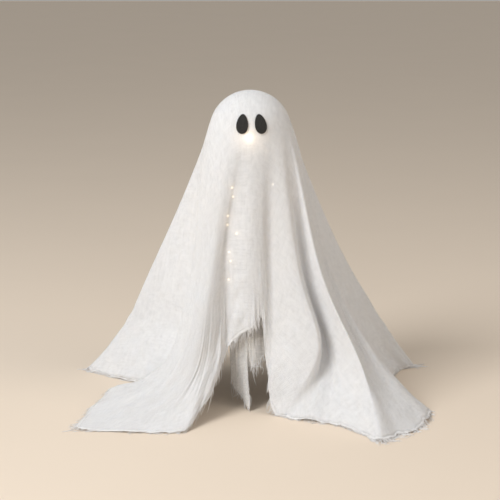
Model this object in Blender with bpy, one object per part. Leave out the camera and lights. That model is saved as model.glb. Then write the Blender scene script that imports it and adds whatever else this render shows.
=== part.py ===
"""Lighted ghost figure for the holidays, standing 0.40 m tall.

A white gauze cloth lies over a moulded head, which four wire legs carry. Under the head hangs a
hollow column with a string of micro lights wound round it, and under the column the battery
housing, with a hinged door below and a slide switch behind. Metres, +Z up, the face towards -Y.
"""

import math

import bmesh
import bpy
import numpy as np
from mathutils import Matrix, Vector

# Clearances
FIT = 0.0003            # running and seating gap between touching pieces
BORE_FIT = 0.0005       # gap round a screw or a wire in its hole

# Place of the head axis in the object's own frame
AXIS_X = -0.005
AXIS_Y = 0.016

# Head
HEAD_RADIUS = 0.0500
HEAD_Z = 0.3462
HEAD_WALL = 0.0016
HEAD_SKIRT = 0.0310     # straight part under the middle of the head
HEAD_SIDES = 36
PLATE_FLANGE = 0.0032
PLATE_SPIGOT = 0.0040
PLATE_SCREW_TURNS = (35.0, 155.0, 275.0)   # between the head's facet edges
PLATE_SCREW_INSET = 0.0060
DOME_STEPS = 8

# Cloth
CLOTH_THICKNESS = 0.0010
CLOTH_LIE = 0.0010      # the coarse cloth stands this far off the smooth head
CLOTH_FLOOR = 0.0018    # lowest point of the cloth's upper face
CLOTH_STEPS = 2         # columns a fold line
DOME_ROWS = 5
SKIRT_ROWS = 6

# Felt eyes
EYE_HEIGHT = 0.0247
EYE_WIDTH = 0.0145
EYE_THICKNESS = 0.0012
EYE_LIFT = 0.0006
EYE_TAPER = 0.16        # how much narrower the top half is
EYE_UP_TURN = 17.05     # over the middle of the head
EYE_INNER = 0.55        # size of the ring inside the rim
EYE_POINTS = 18
EYE_LEFT_TURN = -11.5
EYE_RIGHT_TURN = 14.4
EYE_RIGHT_LEAN = 7.0

# Legs and feet
LEG_TURNS = {"front_left": -50.0, "front_right": 50.0, "rear_right": 130.0, "rear_left": 230.0}
LEG_WIRE = 0.00125
LEG_INSET = 0.0115      # from the plate's rim
LEG_FOOT_RADIUS = 0.1150
LEG_SOCKET = 0.0120
LEG_SOCKET_WALL = 0.0026
LEG_STRAIGHT = 0.0060
LEG_LIFT = 0.0060       # the cloth passes at least this far outside a leg's axis
LEG_SPREAD = 8.0        # turn to each side over which a leg holds the cloth out
BEND_STEPS = 4
FOOT_HEIGHT = 0.0100
FOOT_RADIUS = 0.0055
FOOT_SOLE = 0.0025
FOOT_CHAMFER = 0.0012
FOOT_SIDES = 16

# Light column
COLUMN_RADIUS = 0.0250
COLUMN_WALL = 0.0015
COLUMN_SIDES = 30
SPIGOT = 0.0080
SPIGOT_WALL = 0.0020

# Battery housing
HOUSING_RADIUS = 0.0270
HOUSING_WALL = 0.0018
HOUSING_TOP = 0.1500
HOUSING_CEILING = 0.0020
CELL_RADIUS = 0.00725
CELL_LENGTH = 0.0505
CELL_NUB_RADIUS = 0.0027
CELL_NUB = 0.0012
CELLS = 3
CELL_SIDES = 20
CONTACT = 0.0005
SPRING_HEIGHT = 0.0050
SPRING_RADIUS = 0.0030
SPRING_WIRE = 0.0004
SPRING_CURLS = 2
SPRING_POINTS = 10

# Battery door
DOOR_THICKNESS = 0.0027
DOOR_PAD = 0.0033
DOOR_PAD_RIM = 0.0012   # round the contact plate
KNUCKLE_RADIUS = 0.0026
KNUCKLE_LENGTH = 0.0060
KNUCKLE_SIDES = 16
PIN_RADIUS = 0.0010
DOOR_SCREW_INSET = 0.0025
DOOR_SCREW_REACH = 0.0034   # short, so that it swings out of its bore with the door

# Screws
SCREW_RADIUS = 0.0010
SCREW_HEAD_RADIUS = 0.0026
SCREW_HEAD = 0.0014
SCREW_REACH = 0.0042
SCREW_SIDES = 12
BOSS_RADIUS = 0.0030
BOSS_DEPTH = 0.0070

# Circuit board and switch
BOARD_INSET = 0.0018    # from the bore of the column's ring, so that its wires pass through
BOARD_THICKNESS = 0.0016
BOARD_WIDTH = 0.0240
BOARD_HEIGHT = 0.0400
BOARD_DROP = 0.0080     # under the housing's ceiling
RAIL_DEPTH = 0.0050
RAIL_GRIP = 0.0020
RAIL_WALL = 0.0025
RAIL_BITE = 0.0013      # into the housing's wall
SWITCH_WIDTH = 0.0090
SWITCH_HEIGHT = 0.0130
SWITCH_RISE = 0.0170    # over the board's lower edge
SWITCH_TRAVEL = 0.0040
STEM_WIDTH = 0.0036
STEM_HEIGHT = 0.0030
THUMB_WIDTH = 0.0066
THUMB_HEIGHT = 0.0060
THUMB_DEPTH = 0.0018

# String of micro lights
STRING_RADIUS = 0.0008
STRING_TURNS = 12
STRING_RISE = 0.0035    # start of the winding over the housing's ring
STRING_DROP = 0.0095    # end of the winding under the column's top
STRING_POINTS = 24
STRING_BEND = 0.0018
STRING_START = 180.0
STRING_EASE = 0.0008    # how much wider the winding starts
EASE_TURNS = 1 / 6
BEAD_RADIUS = 0.0020
BEAD_STRETCH = 1.25
BEAD_STEPS = 5
BEAD_SIDES = 8
BEAD_TURNS = (0.31, 1.00, 1.62, 2.34, 3.32, 3.95, 4.62, 5.40, 6.29, 7.05, 7.30, 8.02, 9.37, 9.80,
              10.36, 11.10)
ANCHOR_DEPTH = 0.0030
ANCHOR_WIDTH = 0.0060
ANCHOR_HEIGHT = 0.0040
ANCHOR_BEVEL = 0.0005

# Lamp behind the face
LAMP_TURN = -2.0
LAMP_DROP = 0.0011      # under the middle of the head
LAMP_INSET = 0.0084     # from the head's bore
LAMP_RADIUS = 0.0032
LAMP_POST_RADIUS = 0.0016
LEAD_RADIUS = 0.0007
LEAD_X = 0.0050
LEAD_BEND = 0.0022

# Roundness of wires, and the angles up to which an edge is shaded smooth
THICK_WIRE_STEPS = 2
THIN_WIRE_STEPS = 1
SMOOTH = 35.0
CLOTH_SMOOTH = 60.0

# Finishes: colour, roughness, metallic, glow
GAUZE = ((0.86, 0.85, 0.83), 0.95, 0.0, 0.0)
GAUZE_THIN = ((0.80, 0.77, 0.73), 0.95, 0.0, 0.0)
FELT = ((0.012, 0.012, 0.013), 0.95, 0.0, 0.0)
MILK = ((0.83, 0.84, 0.85), 0.48, 0.0, 0.0)
STEEL = ((0.62, 0.62, 0.63), 0.38, 1.0, 0.0)
NICKEL = ((0.70, 0.69, 0.66), 0.30, 1.0, 0.0)
COPPER = ((0.72, 0.45, 0.30), 0.35, 1.0, 0.0)
RUBBER = ((0.05, 0.05, 0.05), 0.80, 0.0, 0.0)
BEAD = ((1.0, 0.72, 0.38), 0.20, 0.0, 4.0)
LAMP = ((1.0, 0.72, 0.38), 0.20, 0.0, 6.0)
CELL = ((0.10, 0.11, 0.12), 0.35, 0.0, 0.0)
BOARD_GREEN = ((0.05, 0.25, 0.12), 0.50, 0.0, 0.0)
BLACK = ((0.03, 0.03, 0.03), 0.50, 0.0, 0.0)

# Main folds of the cloth, right round from the middle of the front: the turn on the head in
# degrees, the slope at which the fold leaves the head, then its knee, toe and hem from the axis.
FOLDS = (
    ("front_middle", 0, 86, (-0.002, -0.059, 0.215), (-0.002, -0.060, 0.150), (0.000, -0.062, 0.107)),
    ("column_right", 14, 85, (0.014, -0.058, 0.210), (0.015, -0.060, 0.155), (0.014, -0.061, 0.120)),
    ("slot_right", 28, 82, (0.025, -0.051, 0.200), (0.028, -0.056, 0.120), (0.023, -0.070, 0.052)),
    ("flap_ridge", 41, 76, (0.061, -0.062, 0.172), (0.083, -0.086, 0.078), (0.030, -0.090, 0.002)),
    ("flap_back", 50, 72, (0.066, -0.042, 0.175), (0.090, -0.062, 0.072), (0.072, -0.116, 0.002)),
    ("train_valley", 57, 70, (0.078, -0.044, 0.165), (0.106, -0.070, 0.066), (0.112, -0.137, 0.002)),
    ("front_right_ridge", 64, 68, (0.095, -0.066, 0.158), (0.138, -0.118, 0.068), (0.155, -0.197, 0.002)),
    ("front_right_crease", 77, 69, (0.100, -0.030, 0.160), (0.143, -0.070, 0.066), (0.201, -0.153, 0.002)),
    ("right_ridge", 87, 68, (0.110, -0.022, 0.150), (0.162, -0.054, 0.066), (0.226, -0.075, 0.002)),
    ("right_valley", 97, 68, (0.103, 0.004, 0.155), (0.136, 0.008, 0.070), (0.176, 0.028, 0.003)),
    ("right_band", 107, 67, (0.118, 0.042, 0.155), (0.168, 0.084, 0.062), (0.202, 0.114, 0.003)),
    ("rear_right_ridge", 119, 67, (0.132, 0.082, 0.152), (0.186, 0.120, 0.060), (0.227, 0.140, 0.003)),
    ("rear_right_valley", 138, 68, (0.086, 0.096, 0.150), (0.116, 0.130, 0.064), (0.138, 0.156, 0.003)),
    ("rear_fold_right", 158, 69, (0.046, 0.114, 0.156), (0.062, 0.146, 0.066), (0.070, 0.165, 0.006)),
    ("rear_middle", 181, 75, (0.002, 0.086, 0.165), (0.000, 0.098, 0.115), (-0.002, 0.108, 0.072)),
    ("rear_fold_left", 204, 69, (-0.050, 0.112, 0.156), (-0.068, 0.142, 0.066), (-0.078, 0.160, 0.006)),
    ("rear_left_valley", 222, 68, (-0.088, 0.094, 0.150), (-0.116, 0.124, 0.064), (-0.138, 0.148, 0.003)),
    ("rear_left_ridge", 241, 67, (-0.133, 0.078, 0.150), (-0.165, 0.099, 0.079), (-0.221, 0.122, 0.003)),
    ("left_panel", 256, 68, (-0.104, 0.044, 0.150), (-0.134, 0.066, 0.062), (-0.166, 0.066, 0.003)),
    ("left_tuck", 268, 70, (-0.072, 0.004, 0.150), (-0.084, 0.014, 0.070), (-0.128, 0.046, 0.003)),
    ("left_ridge", 282, 71, (-0.080, -0.025, 0.148), (-0.108, -0.034, 0.054), (-0.176, 0.026, 0.005)),
    ("front_left_slope", 295, 71, (-0.073, -0.044, 0.150), (-0.106, -0.066, 0.054), (-0.199, -0.072, 0.004)),
    ("front_left_ridge", 309, 72, (-0.066, -0.056, 0.150), (-0.098, -0.092, 0.052), (-0.208, -0.149, 0.002)),
    ("front_left_train", 324, 74, (-0.054, -0.062, 0.155), (-0.072, -0.096, 0.056), (-0.140, -0.163, 0.002)),
    ("lifted_edge", 333, 77, (-0.046, -0.060, 0.165), (-0.055, -0.084, 0.066), (-0.080, -0.160, 0.003)),
    ("front_left_edge", 342, 80, (-0.038, -0.054, 0.175), (-0.040, -0.066, 0.088), (-0.049, -0.104, 0.032)),
    ("left_valley", 350, 83, (-0.030, -0.048, 0.190), (-0.031, -0.049, 0.130), (-0.031, -0.054, 0.079)),
)

# Lines of the under cloth at the front, left to right: the turn at its top edge, then knee, toe and hem.
UNDER_LINES = (
    (-33, (-0.027, -0.041, 0.120), (-0.026, -0.040, 0.070), (-0.025, -0.040, 0.030)),
    (-25, (-0.021, -0.044, 0.120), (-0.020, -0.044, 0.066), (-0.019, -0.044, 0.020)),
    (-17, (-0.015, -0.047, 0.120), (-0.014, -0.047, 0.062), (-0.011, -0.051, 0.012)),
    (-9, (-0.008, -0.048, 0.120), (-0.008, -0.049, 0.058), (-0.001, -0.072, 0.002)),
    (-3, (-0.003, -0.049, 0.120), (-0.003, -0.049, 0.085), (-0.003, -0.050, 0.046)),
    (5, (0.004, -0.049, 0.120), (0.004, -0.049, 0.085), (0.005, -0.050, 0.052)),
    (13, (0.011, -0.048, 0.120), (0.011, -0.048, 0.088), (0.012, -0.049, 0.060)),
    (22, (0.018, -0.046, 0.120), (0.018, -0.046, 0.092), (0.019, -0.047, 0.066)),
)
UNDER_INSET = 0.0012     # its top edge, from the head's outside
UNDER_ROWS = 9
UNDER_STEPS = 2

# Places that follow from the sizes above
HEAD_BORE = HEAD_RADIUS - HEAD_WALL
PLATE_SCREW_RING = HEAD_BORE - PLATE_SCREW_INSET
LAMP_Z = HEAD_Z - LAMP_DROP
LAMP_REACH = HEAD_BORE - LAMP_INSET
LEG_TOP_RADIUS = HEAD_RADIUS - LEG_INSET
UNDER_RADIUS = HEAD_RADIUS - UNDER_INSET
SCREW_HOLE = SCREW_RADIUS + BORE_FIT
CLOTH_RADIUS = HEAD_RADIUS + CLOTH_LIE + CLOTH_THICKNESS
SKIRT_Z = HEAD_Z - HEAD_SKIRT
FLANGE_Z = SKIRT_Z - FIT - PLATE_FLANGE
SOCKET_Z = FLANGE_Z - LEG_SOCKET
COLUMN_TOP = FLANGE_Z - FIT
COLUMN_BORE = COLUMN_RADIUS - COLUMN_WALL
SPIGOT_RADIUS = COLUMN_BORE - FIT
CEILING_Z = HOUSING_TOP - HOUSING_CEILING
CONTACT_TOP_Z = CEILING_Z - FIT - CONTACT
SPRING_TOP = CONTACT_TOP_Z - FIT
CELL_TOP = SPRING_TOP - SPRING_HEIGHT - FIT
CELL_LOW = CELL_TOP - CELL_LENGTH
CONTACT_LOW_Z = CELL_LOW - FIT - CONTACT
DOOR_TOP = CONTACT_LOW_Z - FIT - DOOR_PAD
DOOR_LOW = DOOR_TOP - DOOR_THICKNESS
HOUSING_LOW = DOOR_TOP + FIT
HOUSING_BORE = HOUSING_RADIUS - HOUSING_WALL
CELL_RING = (CELL_RADIUS + FIT / 2) / math.sin(math.pi / CELLS)
CONTACT_RADIUS = CELL_RING + CELL_RADIUS
DOOR_PAD_RADIUS = CONTACT_RADIUS + DOOR_PAD_RIM
HINGE_Y = HOUSING_RADIUS + KNUCKLE_RADIUS + 2 * FIT
HINGE_Z = DOOR_TOP
DOOR_SCREW_Y = DOOR_SCREW_INSET - HOUSING_BORE
STRING_RING = COLUMN_RADIUS + 2 * FIT + STRING_RADIUS
BEAD_RING = STRING_RING + STRING_RADIUS + FIT + BEAD_RADIUS
STRING_LOW = HOUSING_TOP + SPIGOT + STRING_RISE
STRING_PITCH = (COLUMN_TOP - STRING_DROP - STRING_LOW) / STRING_TURNS
BOARD_Y = SPIGOT_RADIUS - SPIGOT_WALL - BOARD_INSET
BOARD_TOP = CEILING_Z - BOARD_DROP
BOARD_LOW = BOARD_TOP - BOARD_HEIGHT
SWITCH_Z = BOARD_LOW + SWITCH_RISE
SWITCH_FACE = HOUSING_BORE - 3 * FIT
STEM_LOW = SWITCH_Z - (STEM_HEIGHT + SWITCH_TRAVEL) / 2


def clear_scene():
    """Removes whatever the file holds."""
    for obj in list(bpy.data.objects):
        bpy.data.objects.remove(obj, do_unlink=True)


def finish(obj, look):
    """Gives the object a material of its own, with one of the finishes above."""
    colour, roughness, metallic, glow = look
    mat = bpy.data.materials.new(obj.name)
    mat.use_nodes = True
    shader = mat.node_tree.nodes["Principled BSDF"]
    shader.inputs["Base Color"].default_value = (*colour, 1.0)
    shader.inputs["Roughness"].default_value = roughness
    shader.inputs["Metallic"].default_value = metallic
    shader.inputs["Emission Color"].default_value = (*colour, 1.0)
    shader.inputs["Emission Strength"].default_value = glow
    obj.data.materials.clear()
    obj.data.materials.append(mat)
    return obj


def place(name, mesh, parent, smooth_angle=SMOOTH):
    """Links a mesh as an object under the part's origin."""
    obj = bpy.data.objects.new(name, mesh)
    bpy.context.scene.collection.objects.link(obj)
    obj.parent = parent
    if smooth_angle:
        mesh.shade_smooth()
        mesh.set_sharp_from_angle(angle=math.radians(smooth_angle))
    return obj


def mesh_from(name, points, faces):
    """A mesh from arrays of points and faces, its faces turned outwards."""
    bm = bmesh.new()
    verts = [bm.verts.new(tuple(map(float, point))) for point in points]
    for face in faces:
        bm.faces.new([verts[i] for i in face])
    bmesh.ops.recalc_face_normals(bm, faces=bm.faces)
    mesh = bpy.data.meshes.new(name)
    bm.to_mesh(mesh)
    bm.free()
    return mesh


def turned(name, outline, sides, ring=False):
    """Turns an outline of (radius, height) about Z. A ring's outline is closed on itself."""
    bm = bmesh.new()
    row = [bm.verts.new((radius, 0.0, height)) for radius, height in outline]
    edges = [bm.edges.new(pair) for pair in zip(row, row[1:])]
    if ring:
        edges.append(bm.edges.new((row[-1], row[0])))
    bmesh.ops.spin(bm, geom=row + edges, cent=(0, 0, 0), axis=(0, 0, 1), angle=math.tau,
                   steps=sides, use_merge=True)
    bmesh.ops.remove_doubles(bm, verts=bm.verts, dist=1e-6)
    bmesh.ops.recalc_face_normals(bm, faces=bm.faces)
    mesh = bpy.data.meshes.new(name)
    bm.to_mesh(mesh)
    bm.free()
    return mesh


def block(name, low, high, bevel=0.0):
    """A box between two corners, its edges rounded off by one cut where a bevel is given."""
    bm = bmesh.new()
    bmesh.ops.create_cube(bm, size=1.0)
    low, high = Vector(low), Vector(high)
    for vert in bm.verts:
        vert.co = Vector((low[i] + (vert.co[i] + 0.5) * (high[i] - low[i]) for i in range(3)))
    if bevel:
        bmesh.ops.bevel(bm, geom=bm.edges[:], offset=bevel, segments=1, affect="EDGES")
    mesh = bpy.data.meshes.new(name)
    bm.to_mesh(mesh)
    bm.free()
    return mesh


def rod(name, start, end, radius, sides):
    """A solid round rod between two points."""
    start, end = Vector(start), Vector(end)
    bm = bmesh.new()
    bmesh.ops.create_cone(bm, cap_ends=True, segments=sides, radius1=radius, radius2=radius,
                          depth=(end - start).length)
    turn = Vector((0, 0, 1)).rotation_difference(end - start).to_matrix().to_4x4()
    bmesh.ops.transform(bm, matrix=turn, verts=bm.verts)
    bmesh.ops.translate(bm, vec=(start + end) / 2, verts=bm.verts)
    mesh = bpy.data.meshes.new(name)
    bm.to_mesh(mesh)
    bm.free()
    return mesh


def wire(name, points, radius, resolution, parent):
    """A round wire along a polyline, with closed ends."""
    curve = bpy.data.curves.new(name, "CURVE")
    curve.dimensions = "3D"
    curve.bevel_depth = radius
    curve.bevel_resolution = resolution
    curve.use_fill_caps = True
    spline = curve.splines.new("POLY")
    spline.points.add(len(points) - 1)
    for target, point in zip(spline.points, points):
        target.co = (*map(float, point), 1.0)
    obj = bpy.data.objects.new(name, curve)
    bpy.context.scene.collection.objects.link(obj)
    obj.parent = parent
    return obj


def shape_with(target, tool_mesh, operation, parent):
    """Cuts or joins a tool shape with the target, and keeps the tool out of sight."""
    tool = place(f"{target.name}_tool_{len(target.modifiers)}", tool_mesh, parent, 0)
    tool.hide_render = True
    tool.display_type = "WIRE"
    step = target.modifiers.new(tool.name, "BOOLEAN")
    step.operation = operation
    step.object = tool
    step.solver = "EXACT"


def around(turn, radius, height=0.0):
    """The point at a turn in degrees from the front, seen from above, anticlockwise."""
    angle = math.radians(turn)
    return Vector((radius * math.sin(angle), -radius * math.cos(angle), height))


def through(values, at, closed):
    """Smooth values at fractional places along a row of values, each slope from its neighbours."""
    count = len(values)
    first = np.floor(at).astype(int)
    if not closed:
        first = np.minimum(first, count - 2)
    t = (at - first)[:, None]
    if closed:
        before, start, end, after = ((first + step) % count for step in (-1, 0, 1, 2))
    else:
        before, start, end, after = (np.clip(first + step, 0, count - 1) for step in (-1, 0, 1, 2))
    slope_start = (values[end] - values[before]) / 2
    slope_end = (values[after] - values[start]) / 2
    return hermite(values[start], values[end], slope_start, slope_end, t)


def hermite(start, end, slope_start, slope_end, t):
    """The cubic between two values with given slopes."""
    t2, t3 = t * t, t * t * t
    return ((2 * t3 - 3 * t2 + 1) * start + (t3 - 2 * t2 + t) * slope_start
            + (3 * t2 - 2 * t3) * end + (t3 - t2) * slope_end)


def run_down(points, first_direction, rows):
    """Rows of points down a set of lines. Each line passes through its own knots, evenly by length."""
    spans = [np.linalg.norm(b - a, axis=1, keepdims=True) for a, b in zip(points, points[1:])]
    runs = [(b - a) / span for a, b, span in zip(points, points[1:], spans)]
    slopes = [first_direction]
    for run, after, span, span_after in zip(runs, runs[1:], spans, spans[1:]):
        slopes.append((run * span_after + after * span) / (span + span_after))
    slopes.append((3 * runs[-1] - slopes[-1]) / 2)
    ends = np.cumsum([np.zeros_like(spans[0])] + spans, axis=0)
    result = []
    for row in range(1, rows + 1):
        along = ends[-1] * row / rows
        here = points[-1]
        for i in reversed(range(len(spans))):
            t = np.clip((along - ends[i]) / spans[i], 0.0, 1.0)
            piece = hermite(points[i], points[i + 1], slopes[i] * spans[i], slopes[i + 1] * spans[i], t)
            here = np.where(along <= ends[i + 1] + 1e-9, piece, here)
        result.append(here)
    return result


def over_legs(rows):
    """Holds the cloth out where it would fall inside a leg. A leg's radius grows evenly on its way down."""
    radius = np.hypot(rows[:, :, 0], rows[:, :, 1])
    turn = np.degrees(np.arctan2(rows[:, :, 0], -rows[:, :, 1]))
    top = SOCKET_Z - LEG_STRAIGHT
    low = FOOT_HEIGHT + LEG_STRAIGHT
    share = np.clip((top - rows[:, :, 2]) / (top - low), 0.0, 1.0)
    leg = LEG_TOP_RADIUS + share * (LEG_FOOT_RADIUS - LEG_TOP_RADIUS) + LEG_LIFT
    for leg_turn in LEG_TURNS.values():
        aside = np.abs((turn - leg_turn + 180.0) % 360.0 - 180.0)
        held = (aside < LEG_SPREAD) & (rows[:, :, 2] < top) & (radius < leg)
        out = np.where(held, leg / np.maximum(radius, FIT), 1.0)
        rows[:, :, :2] *= out[:, :, None]
        radius *= out
    return rows


def drape_rows():
    """Rows of points down the drape from just under its top. Each column follows a great circle of
    the head to where its fold leaves it, then runs smoothly through the fold's knee, toe and hem."""
    count = len(FOLDS)
    step = 360.0 / count
    table = np.array([[fold[1] - i * step, fold[2], *fold[3], *fold[4], *fold[5]]
                      for i, fold in enumerate(FOLDS)])
    at = np.arange(count * CLOTH_STEPS) / CLOTH_STEPS
    lines = through(table, at, True)
    turn = np.radians(lines[:, 0] + at * step)
    leave = np.radians(lines[:, 1])[:, None]
    outward = np.column_stack([np.sin(turn), -np.cos(turn), np.zeros_like(turn)])
    up = np.array([0.0, 0.0, 1.0])
    rows = []
    for row in range(1, DOME_ROWS + 1):
        polar = leave * row / DOME_ROWS
        rows.append(CLOTH_RADIUS * (np.sin(polar) * outward + np.cos(polar) * up) + HEAD_Z * up)
    knots = [rows[-1], lines[:, 2:5], lines[:, 5:8], lines[:, 8:11]]
    rows += run_down(knots, np.cos(leave) * outward - np.sin(leave) * up, SKIRT_ROWS)
    rows = np.array(rows)
    rows[:, :, 2] = np.maximum(rows[:, :, 2], CLOTH_FLOOR)
    return over_legs(rows)


def grid_normals(points, faces):
    """The mean direction of the faces at each point."""
    normals = np.zeros_like(points)
    for face in faces:
        a, b, c = points[face[0]], points[face[1]], points[face[2]]
        normals[list(face)] += np.cross(b - a, c - a)
    return normals / np.linalg.norm(normals, axis=1, keepdims=True)


def split(points, a, b, c, d):
    """The two triangles of a skew quad, cut along its shorter diagonal."""
    if np.linalg.norm(points[a] - points[c]) <= np.linalg.norm(points[b] - points[d]):
        return [(a, b, c), (a, c, d)]
    return [(a, b, d), (b, c, d)]


def make_drape(parent):
    """The outer cloth, one closed shell: the draped face, a face inside it, and the raw hem between."""
    rows = drape_rows()
    height, width = rows.shape[:2]
    top = np.array([[0.0, 0.0, HEAD_Z + CLOTH_RADIUS]])
    outer = np.concatenate([top, rows.reshape(-1, 3)])
    faces = [(0, 1 + i, 1 + (i + 1) % width) for i in range(width)]
    for j in range(height - 1):
        for i in range(width):
            a, b = 1 + j * width + i, 1 + j * width + (i + 1) % width
            faces += split(outer, a, a + width, b + width, b)
    inner = outer - CLOTH_THICKNESS * grid_normals(outer, faces)
    shift = len(outer)
    shell = faces + [tuple(i + shift for i in reversed(face)) for face in faces]
    hem = 1 + (height - 1) * width
    for i in range(width):
        a, b = hem + i, hem + (i + 1) % width
        shell.append((a, a + shift, b + shift, b))
    mesh = mesh_from("gauze_drape", np.concatenate([outer, inner]), shell)
    return finish(place("gauze_drape", mesh, parent, CLOTH_SMOOTH), GAUZE)


def make_under_cloth(parent):
    """The second ply behind the front hem: a strip of gauze under the head, with a torn tail."""
    table = np.array([[line[0], *line[1], *line[2], *line[3]] for line in UNDER_LINES])
    at = np.arange((len(UNDER_LINES) - 1) * UNDER_STEPS + 1) / UNDER_STEPS
    lines = through(table, at, False)
    turn = np.radians(lines[:, 0])
    top = np.column_stack([UNDER_RADIUS * np.sin(turn), -UNDER_RADIUS * np.cos(turn),
                           np.full_like(turn, FLANGE_Z - FIT)])
    down = np.tile(np.array([0.0, 0.0, -1.0]), (len(turn), 1))
    rows = np.array([top] + run_down([top, lines[:, 1:4], lines[:, 4:7], lines[:, 7:10]], down, UNDER_ROWS))
    rows[:, :, 2] = np.maximum(rows[:, :, 2], CLOTH_FLOOR)
    height, width = rows.shape[:2]
    outer = rows.reshape(-1, 3)
    faces = []
    for j in range(height - 1):
        for a in range(j * width, j * width + width - 1):
            faces += split(outer, a, a + width, a + width + 1, a + 1)
    inward = grid_normals(outer, faces)
    inward[:width, 2] = 0.0
    inner = outer - CLOTH_THICKNESS * inward
    shift = len(outer)
    shell = faces + [tuple(i + shift for i in reversed(face)) for face in faces]
    rim = list(range(width))
    rim += [j * width + width - 1 for j in range(1, height)]
    rim += [(height - 1) * width + i for i in reversed(range(width - 1))]
    rim += [j * width for j in reversed(range(1, height - 1))]
    for a, b in zip(rim, rim[1:] + rim[:1]):
        shell.append((a, b, b + shift, a + shift))
    mesh = mesh_from("gauze_underlayer", np.concatenate([outer, inner]), shell)
    return finish(place("gauze_underlayer", mesh, parent, CLOTH_SMOOTH), GAUZE_THIN)


def make_eye(name, turn, lean, parent):
    """An egg of felt that follows the cloth over the head, narrower at the top."""
    around_edge = np.arange(EYE_POINTS) * math.tau / EYE_POINTS
    lean = math.radians(lean)
    shares = (EYE_INNER, 1.0, 1.0, EYE_INNER)
    lifts = (EYE_LIFT, EYE_LIFT, EYE_LIFT + EYE_THICKNESS, EYE_LIFT + EYE_THICKNESS)
    middle = math.radians(90.0 - EYE_UP_TURN)

    def on_head(side, rise, lift):
        polar = middle - rise / CLOTH_RADIUS
        angle = math.radians(turn) + side / (CLOTH_RADIUS * math.sin(middle))
        radius = CLOTH_RADIUS + lift
        return np.stack([radius * np.sin(polar) * np.sin(angle), -radius * np.sin(polar) * np.cos(angle),
                         HEAD_Z + radius * np.cos(polar)], axis=-1)

    points = [on_head(0.0, 0.0, lifts[0])[None]]
    for share, lift in zip(shares, lifts):
        rise = share * EYE_HEIGHT / 2 * np.sin(around_edge)
        side = share * EYE_WIDTH / 2 * np.cos(around_edge) * (1 - EYE_TAPER * np.sin(around_edge))
        across = side * math.cos(lean) - rise * math.sin(lean)
        upward = side * math.sin(lean) + rise * math.cos(lean)
        points.append(on_head(across, upward, lift))
    points.append(on_head(0.0, 0.0, lifts[-1])[None])
    faces = []
    for i in range(EYE_POINTS):
        after = (i + 1) % EYE_POINTS
        faces.append((0, 1 + after, 1 + i))
        for ring in range(len(shares) - 1):
            low, high = 1 + ring * EYE_POINTS, 1 + (ring + 1) * EYE_POINTS
            faces.append((low + i, low + after, high + after, high + i))
        last = 1 + (len(shares) - 1) * EYE_POINTS
        faces.append((last + i, last + after, last + EYE_POINTS))
    mesh = mesh_from(name, np.concatenate(points), faces)
    return finish(place(name, mesh, parent), FELT)


def screw(name, seat, direction, length, parent):
    """A pan-head screw. Its head ends at the seat, and its shank runs on along the direction."""
    rim = (SCREW_HEAD_RADIUS, -SCREW_HEAD / 2)
    outline = [(0.0, -SCREW_HEAD), (SCREW_HEAD_RADIUS - SCREW_HEAD / 2, -SCREW_HEAD), rim,
               (SCREW_HEAD_RADIUS, 0.0), (SCREW_RADIUS, 0.0), (SCREW_RADIUS, length), (0.0, length)]
    mesh = turned(name, outline, SCREW_SIDES)
    turn = Vector((0, 0, 1)).rotation_difference(Vector(direction))
    mesh.transform(turn.to_matrix().to_4x4())
    mesh.transform(Matrix.Translation(seat))
    return finish(place(name, mesh, parent), STEEL)


def rounded(points, radius, steps):
    """A polyline with each corner eased into a curve that starts and ends one radius from it."""
    points = [Vector(point) for point in points]
    result = [points[0]]
    for before, corner, after in zip(points, points[1:], points[2:]):
        start = corner + (before - corner).normalized() * radius
        end = corner + (after - corner).normalized() * radius
        for i in range(steps + 1):
            t = i / steps
            result.append(start * (1 - t) ** 2 + corner * 2 * t * (1 - t) + end * t ** 2)
    result.append(points[-1])
    return result


def least_gap(points, radius, loop_points):
    """The least clear distance between parts of a wound wire at least half a loop apart."""
    points = np.array([tuple(point) for point in points])
    far = np.linalg.norm(points[:, None] - points[None], axis=2)
    index = np.arange(len(points))
    apart = np.abs(index[:, None] - index[None]) >= loop_points // 2
    return far[apart].min() - 2 * radius


def make_head(parent):
    """The moulded head: a dome on a short skirt, with bosses above its rim for the plate's screws."""
    quarter = [math.pi / 2 * i / DOME_STEPS for i in range(DOME_STEPS + 1)]
    outside = [(HEAD_RADIUS * math.sin(a), HEAD_Z + HEAD_RADIUS * math.cos(a)) for a in quarter]
    inside = [(HEAD_BORE * math.sin(a), HEAD_Z + HEAD_BORE * math.cos(a)) for a in reversed(quarter)]
    outline = outside + [(HEAD_RADIUS, SKIRT_Z), (HEAD_BORE, SKIRT_Z)] + inside
    head = place("head_shell", turned("head_shell", outline, HEAD_SIDES), parent)
    low = SKIRT_Z + PLATE_SPIGOT + FIT
    high = low + BOSS_DEPTH
    for turn in PLATE_SCREW_TURNS:
        boss = rod("boss", around(turn, PLATE_SCREW_RING, low), around(turn, PLATE_SCREW_RING, high),
                   BOSS_RADIUS, SCREW_SIDES)
        shape_with(head, boss, "UNION", parent)
        middle = (low + high) / 2
        web = rod("web", around(turn, PLATE_SCREW_RING, middle),
                  around(turn, HEAD_BORE + HEAD_WALL / 2, middle), BOSS_RADIUS / 2, SCREW_SIDES)
        shape_with(head, web, "UNION", parent)
        bore = rod("bore", around(turn, PLATE_SCREW_RING, low - FIT),
                   around(turn, PLATE_SCREW_RING, low + SCREW_REACH + FIT), SCREW_HOLE, SCREW_SIDES)
        shape_with(head, bore, "DIFFERENCE", parent)
    return finish(head, MILK)


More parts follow.
